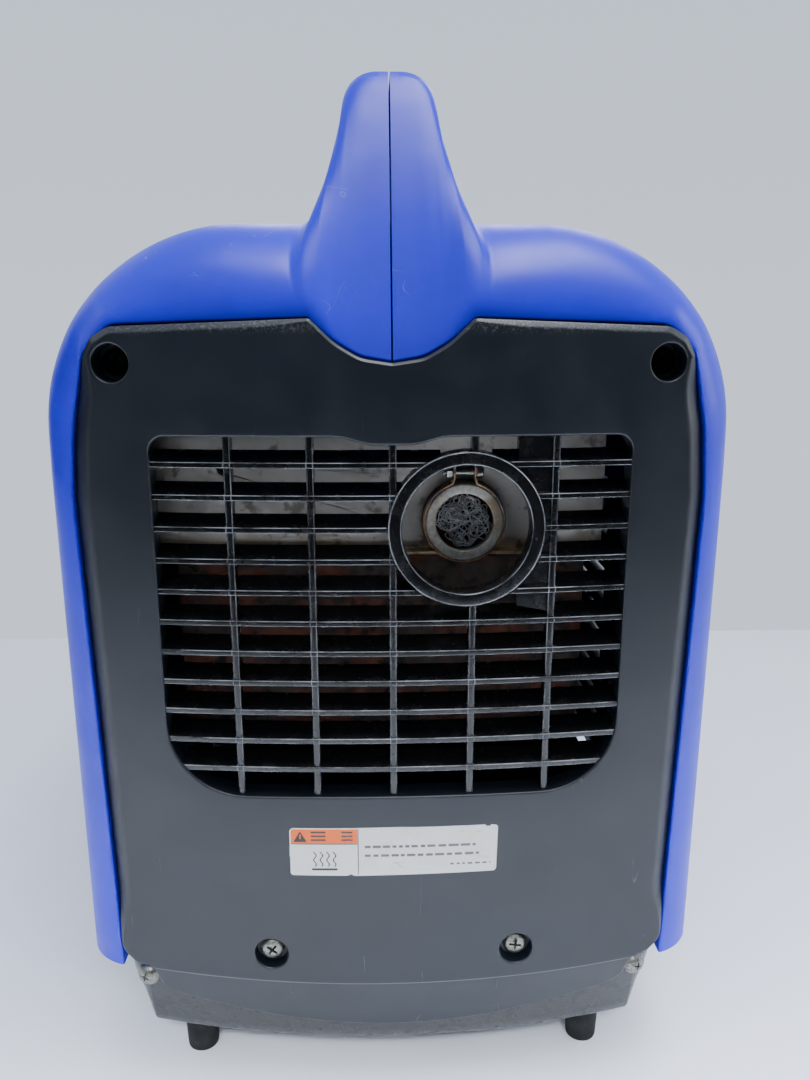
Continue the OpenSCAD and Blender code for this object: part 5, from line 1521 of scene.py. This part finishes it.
# ---------- front end ----------
PLATE_Y = 226.0
CONTROLS = (-98, 152, 98, 318)
INTAKE = (-84, 84, 84, 134)
RUN_KNOB, CHOKE = (60, 274), (60, 212)


def front_end():
    x0, z0, x1, z1 = CONTROLS
    controls = rect(x0 - 0.1, z0 - 0.1, x1 + 0.1, z1 + 0.1, 12, 4)
    rings = dipped(controls, 1.6, 6.0)
    rings[-1] = (controls, HALF_L - fall(controls[:, 0]) - (PLATE_Y + 0.5))
    intake = rect(*INTAKE, 8, 4)
    skin = plate("front_cover_moulding", panel_rings(), [rings, dipped(intake, 1.0, 9.0)] +
                 screw_holes(LOWER_SCREW[1] - 6), front, extra=CREASE_GRID)
    thicken(skin, 2.0)
    blade = [(d + 0.8, h) for d, h in blade_profile(2.0, 8.6, 3.9, 0.9)]
    pieces = [skin]
    for k in range(5):
        pieces.append(swept("intake", blade, np.linspace(-85.0, 85.0, 24), INTAKE[1] + 7 + 9 * k, front))
    profile = [(-1.5, 8.0), (-1.5, 2.4), (-1.0, 1.6), (1.0, 1.6), (1.5, 2.4), (1.5, 8.0)]
    for x in (-56, -28, 0, 28, 56):
        pieces.append(upright("bar", profile, x, (INTAKE[1] - 1, INTAKE[3] + 1), front))
    obj = join("front_cover_moulding", pieces)
    finish(obj, "charcoal_plastic", 45, ["front_cover"])

    # the plate that the controls stand on, with a hole for each
    outer = rect(x0 - 2.4, z0 - 2.4, x1 + 2.4, z1 + 2.4, 14, 6)
    loops = [circle(*RUN_KNOB, 6.5), circle(*CHOKE, 3.6, 32), circle(12, 222, 8.0), circle(10, 184, 13.0),
             circle(60, 174, 3.0, 32), rect(-10, 257, 18, 275, 2)]
    loops += [circle(x, 300, 4.0, 32) for x in (-14, 4, 22)]
    loops += [rect(-73, z - 23, -27, z + 23, 4) for z in (266, 204)]
    skin = plate("control_plate_moulding", [(outer, 2.4), (outer, 0.0)],
                 [[(loop, 0.0), (loop, 2.4)] for loop in loops], lambda p, d: along_y(p, PLATE_Y - d), 24, 30)
    thicken(skin, 1.2)
    # printed marks: a ring round each knob, and dots at the run knob's positions
    marks = []
    for middle, loop in ((RUN_KNOB, circle(*RUN_KNOB, 25.0, 64)), (CHOKE, circle(*CHOKE, 16.0, 48))):
        inner = loop + (np.array(middle) - loop) * 0.04
        ring = flared("mark_ring", [(loop, PLATE_Y - 0.2), (loop, PLATE_Y + 0.25)], along_y)
        marks.append(cut(ring, flared("hole", [(inner, PLATE_Y - 1.0), (inner, PLATE_Y + 1.0)], along_y)))
    for a in np.radians((-90, -45, 0, 45)):
        x, z = RUN_KNOB[0] + 28.5 * math.sin(a), RUN_KNOB[1] + 28.5 * math.cos(a)
        dot = [(circle(x, z, 1.1, 20), PLATE_Y - 0.2), (circle(x, z, 1.0, 20), PLATE_Y + 0.25)]
        marks.append(flared("mark_dot", dot, along_y))
    finish(join("control_marks", marks), "white_plastic", 30)
    finish(skin, "black_plastic", 40, ["control_plate"], slot="charcoal_plastic")

    # run knob: a dished disc with a gripping bar and a pointer
    profile = [(4, -30), (4, 0.4), (20.2, 0.5), (21, 1.2), (21, 4.8), (20.4, 5.8), (19.4, 6.2), (19, 7.2),
               (18.2, 8), (6, 7.2), (0, 7.0), (0, -30)]
    disc = turned("disc", profile, (RUN_KNOB[0], PLATE_Y, RUN_KNOB[1]), (0, 1, 0), 96)
    rows = []
    for y, grow in ((5.5, 0.2), (12, 0.0), (15.4, -0.5), (16.5, -1.4), (17.0, -3.0)):
        rows.append((grown(rect(54.5, 255.6, 65.5, 292.4, 5, 4), grow), PLATE_Y + y))
    bar = flared("bar", rows, along_y)
    knob = join("engine_knob_moulding", [disc, bar])
    finish(knob, "black_plastic", 35, ["engine_knob"], "run_knob")
    mark = rect(59.2, 277, 60.8, 289, 0.7)
    line = flared("pointer", [(mark, PLATE_Y + 16.0), (grown(mark, -0.1), PLATE_Y + 17.0)], along_y)
    finish(line, "white_plastic", 30, body="run_knob")

    profile = [(3, -34), (3, 1), (7.6, 1), (8, 1.4), (8, 3.6), (7.2, 4.2), (6, 4.6), (6, 6.6), (7.2, 7.1),
               (12.2, 7.4), (13, 8.4), (13, 12.8), (12.0, 14.2), (10, 15.0), (0, 14.6), (0, -34)]
    pull = turned("choke_knob_moulding", profile, (CHOKE[0], PLATE_Y, CHOKE[1]), (0, 1, 0), 72)
    finish(pull, "black_plastic", 35, ["choke_knob"], "choke")


# ---------- filler cap ----------


def filler_cap():
    # the cap's section as (height, radius), with grips cut into its outer wall
    heights = [(388.0, 26.6), (388.3, 27.6), (389.2, 28.6), (390.2, 29.0), (397.4, 29.0), (398.8, 28.4),
               (399.7, 27.0), (400.0, 25.0), (400.0, 11.6), (399.6, 10.8), (398.6, 10.5), (396.0, 10.4),
               (396.0, 3.1), (392.0, 3.1), (392.0, 23.0), (388.0, 23.2)]
    steps = 240
    rows = []
    for k in range(steps + 1):
        a = 2 * math.pi * k / steps
        rib = (0.5 + 0.5 * math.cos(24 * a)) ** 3 * 1.7
        row = [(z, r - rib if r > 27.2 else r) for z, r in heights]
        rows.append([(NECK[0] + r * math.cos(a), NECK[1] + r * math.sin(a), z) for z, r in row])
    cap = loft("fuel_cap_moulding", rows, capped=False)
    finish(cap, "black_plastic", 40, ["fuel_cap"], "cap_lid")

    profile = [(0, 389.9), (2.8, 389.9), (3, 390.1), (3, 396.4), (9.2, 396.5), (9.6, 396.9), (9.6, 398.4),
               (9.2, 398.9), (8.4, 399.1), (0, 399.1)]
    disc = turned("vent_disc", profile, (*NECK, 0), (0, 0, 1), 64)
    loop = rect(NECK[0] - 8.8, NECK[1] - 2.6, NECK[0] + 8.8, NECK[1] + 2.6, 2.3, 3)
    middle = loop.mean(0)
    bar = flared("vent_bar", [(loop, 398.8), (loop, 400.8), (middle + (loop - middle) * 0.97, 401.3),
                              (middle + (loop - middle) * 0.88, 401.6)], along_z)
    vent = join("cap_vent_moulding", [disc, bar])
    finish(vent, "black_plastic", 40, ["cap_vent_knob"], "cap_vent")


label()
base()
service_cover()
recoil_side()
front_end()
filler_cap()

# ---------- CAD nodes that stay ----------
# How wide their edges are rounded, in millimetres; the others' are 0.3
ROUND = {
    "engine_block": 1.2, "cylinder_head": 0.8, "valve_cover": 1.6, "muffler": 1.2,
    "muffler_shroud": 0.45, "fuel_tank": 1.5, "inverter_unit": 0.9, "carburettor": 0.8,
    "fuel_valve": 0.8, "air_cleaner_case": 0.9, "air_cleaner_cover": 0.9, "air_filter_element": 1.4,
    "engine_mounts": 1.2, "plug_cap": 0.7, "flywheel_rotor": 0.9, "cooling_fan": 0.35,
    "ac_receptacle_upper": 0.5, "ac_receptacle_lower": 0.5, "dc_outlet": 0.5, "dc_breaker": 0.4,
    "dc_breaker_button": 0.5, "eco_switch": 0.4, "eco_rocker": 0.4, "oil_filler_cap": 0.7,
    "recoil_reel": 0.5, "starter_cup": 0.5, "tank_grommet": 0.5, "cap_gasket": 0.2,
    "fuel_strainer": 0.2, "earth_terminal": 0.25, "spark_plug": 0.3, "stator": 0.5, "fuel_hoses": 0.3,
    "crankshaft": 0.4, "indicator_lenses": 0.15,
}
for node, obj in sorted(frame["nodes"].items()):
    obj.data.materials.clear()
    obj.data.materials.append(LOOKS[SLOTS[node]].mat)
    if obj.hide_render:
        continue
    weld = obj.modifiers.new("weld", "WELD")
    weld.merge_threshold = 1e-5
    soften(obj, ROUND.get(node, 0.3))
    finish = obj.modifiers.new("weighted", "WEIGHTED_NORMAL")
    finish.keep_sharp = False

# ---------- camera, light and floor ----------


def stage():
    camera = bpy.data.objects.new("camera", bpy.data.cameras.new("camera"))
    camera.data.lens = 30.4
    camera.data.sensor_width = 36.0
    camera.location = (-0.0068, -0.590, 0.351)
    camera.rotation_euler = (math.radians(76.0), 0, math.radians(-1.9))
    camera.data.clip_start = 0.01
    bpy.context.scene.collection.objects.link(camera)
    bpy.context.scene.camera = camera

    # the board's far edge is the line where the floor ends in the picture
    table = rounded_loop([(-1800, -800, 60), (1800, -800, 60), (1800, 380, 12), (-1800, 380, 12)], 200)
    floor = flared("floor", [(table, -40.0), (table, -4.0), (table * 0.9985, -0.0)], along_z)
    look = Look("floor_board", "#eef2fa", 0.55)
    look.tint(look.blotches(300, 0.3, 0.7), "#e9eef7")
    look.bump(look.noise(2.0, detail=3.0), 0.02)
    paint(floor, look)

    # dark cards out of view, which the satin mouldings mirror above the table
    look = Look("card_cloth_black", "#07090d", 0.9)
    look.tint(look.blotches(200, 0.3, 0.7), "#0a0d12")
    look.bump(look.noise(2.0, detail=2.0), 0.1)
    ahead = rect(-1500, -700, 1500, 700, 20, 400)
    aside = rounded_loop([(-900, -500, 5), (-890, -500, 5), (-890, 500, 5), (-900, 500, 5)], 200)
    for card in (flared("card_ahead", [(ahead, -870.0), (ahead, -860.0)], along_y),
                 flared("card_aside", [(aside, 110.0), (aside, 750.0)], along_z)):
        paint(card, look)
        card.visible_camera = False
        card.visible_shadow = False

    world = bpy.data.worlds.new("studio")
    bpy.context.scene.world = world
    world.use_nodes = True
    tree = world.node_tree
    ground = tree.nodes["Background"]
    coords = tree.nodes.new("ShaderNodeTexCoord")
    split = tree.nodes.new("ShaderNodeSeparateXYZ")
    ramp = tree.nodes.new("ShaderNodeValToRGB")
    tree.links.new(coords.outputs["Generated"], split.inputs[0])
    tree.links.new(split.outputs["Z"], ramp.inputs[0])
    tree.links.new(ramp.outputs[0], ground.inputs["Color"])
    for stop, place_at, colour in zip(ramp.color_ramp.elements, (0.0, 0.6), ("#cad3e0", "#b5c3d6")):
        stop.position = place_at
        stop.color = Look.rgb(colour)
    ground.inputs["Strength"].default_value = 1.48

    def lamp(name, spot, aim, size, power, colour="#ffffff", spread=180):
        light = bpy.data.lights.new(name, "AREA")
        light.shape = "RECTANGLE"
        light.size, light.size_y = size
        light.energy = power
        light.spread = math.radians(spread)
        light.color = Look.rgb(colour)[:3]
        obj = bpy.data.objects.new(name, light)
        obj.location = spot
        obj.rotation_euler = (Vector(aim) - Vector(spot)).to_track_quat("-Z", "Y").to_euler()
        bpy.context.scene.collection.objects.link(obj)

    lamp("key", (0.25, -0.35, 1.6), (0, -0.1, 0.25), (1.1, 0.7), 24, "#f8faff")
    lamp("left", (-1.5, -0.5, 0.9), (0, 0, 0.22), (0.8, 1.0), 4)
    lamp("right", (1.5, -0.4, 0.8), (0, 0, 0.22), (0.8, 1.0), 8)
    lamp("wash", (0, -0.85, 0.6), (0, -0.52, 0), (1.6, 0.2), 7, "#f4f8ff", 55)
    lamp("behind", (0.2, 1.3, 1.1), (0, 0.1, 0.25), (1.2, 0.6), 8)


stage()
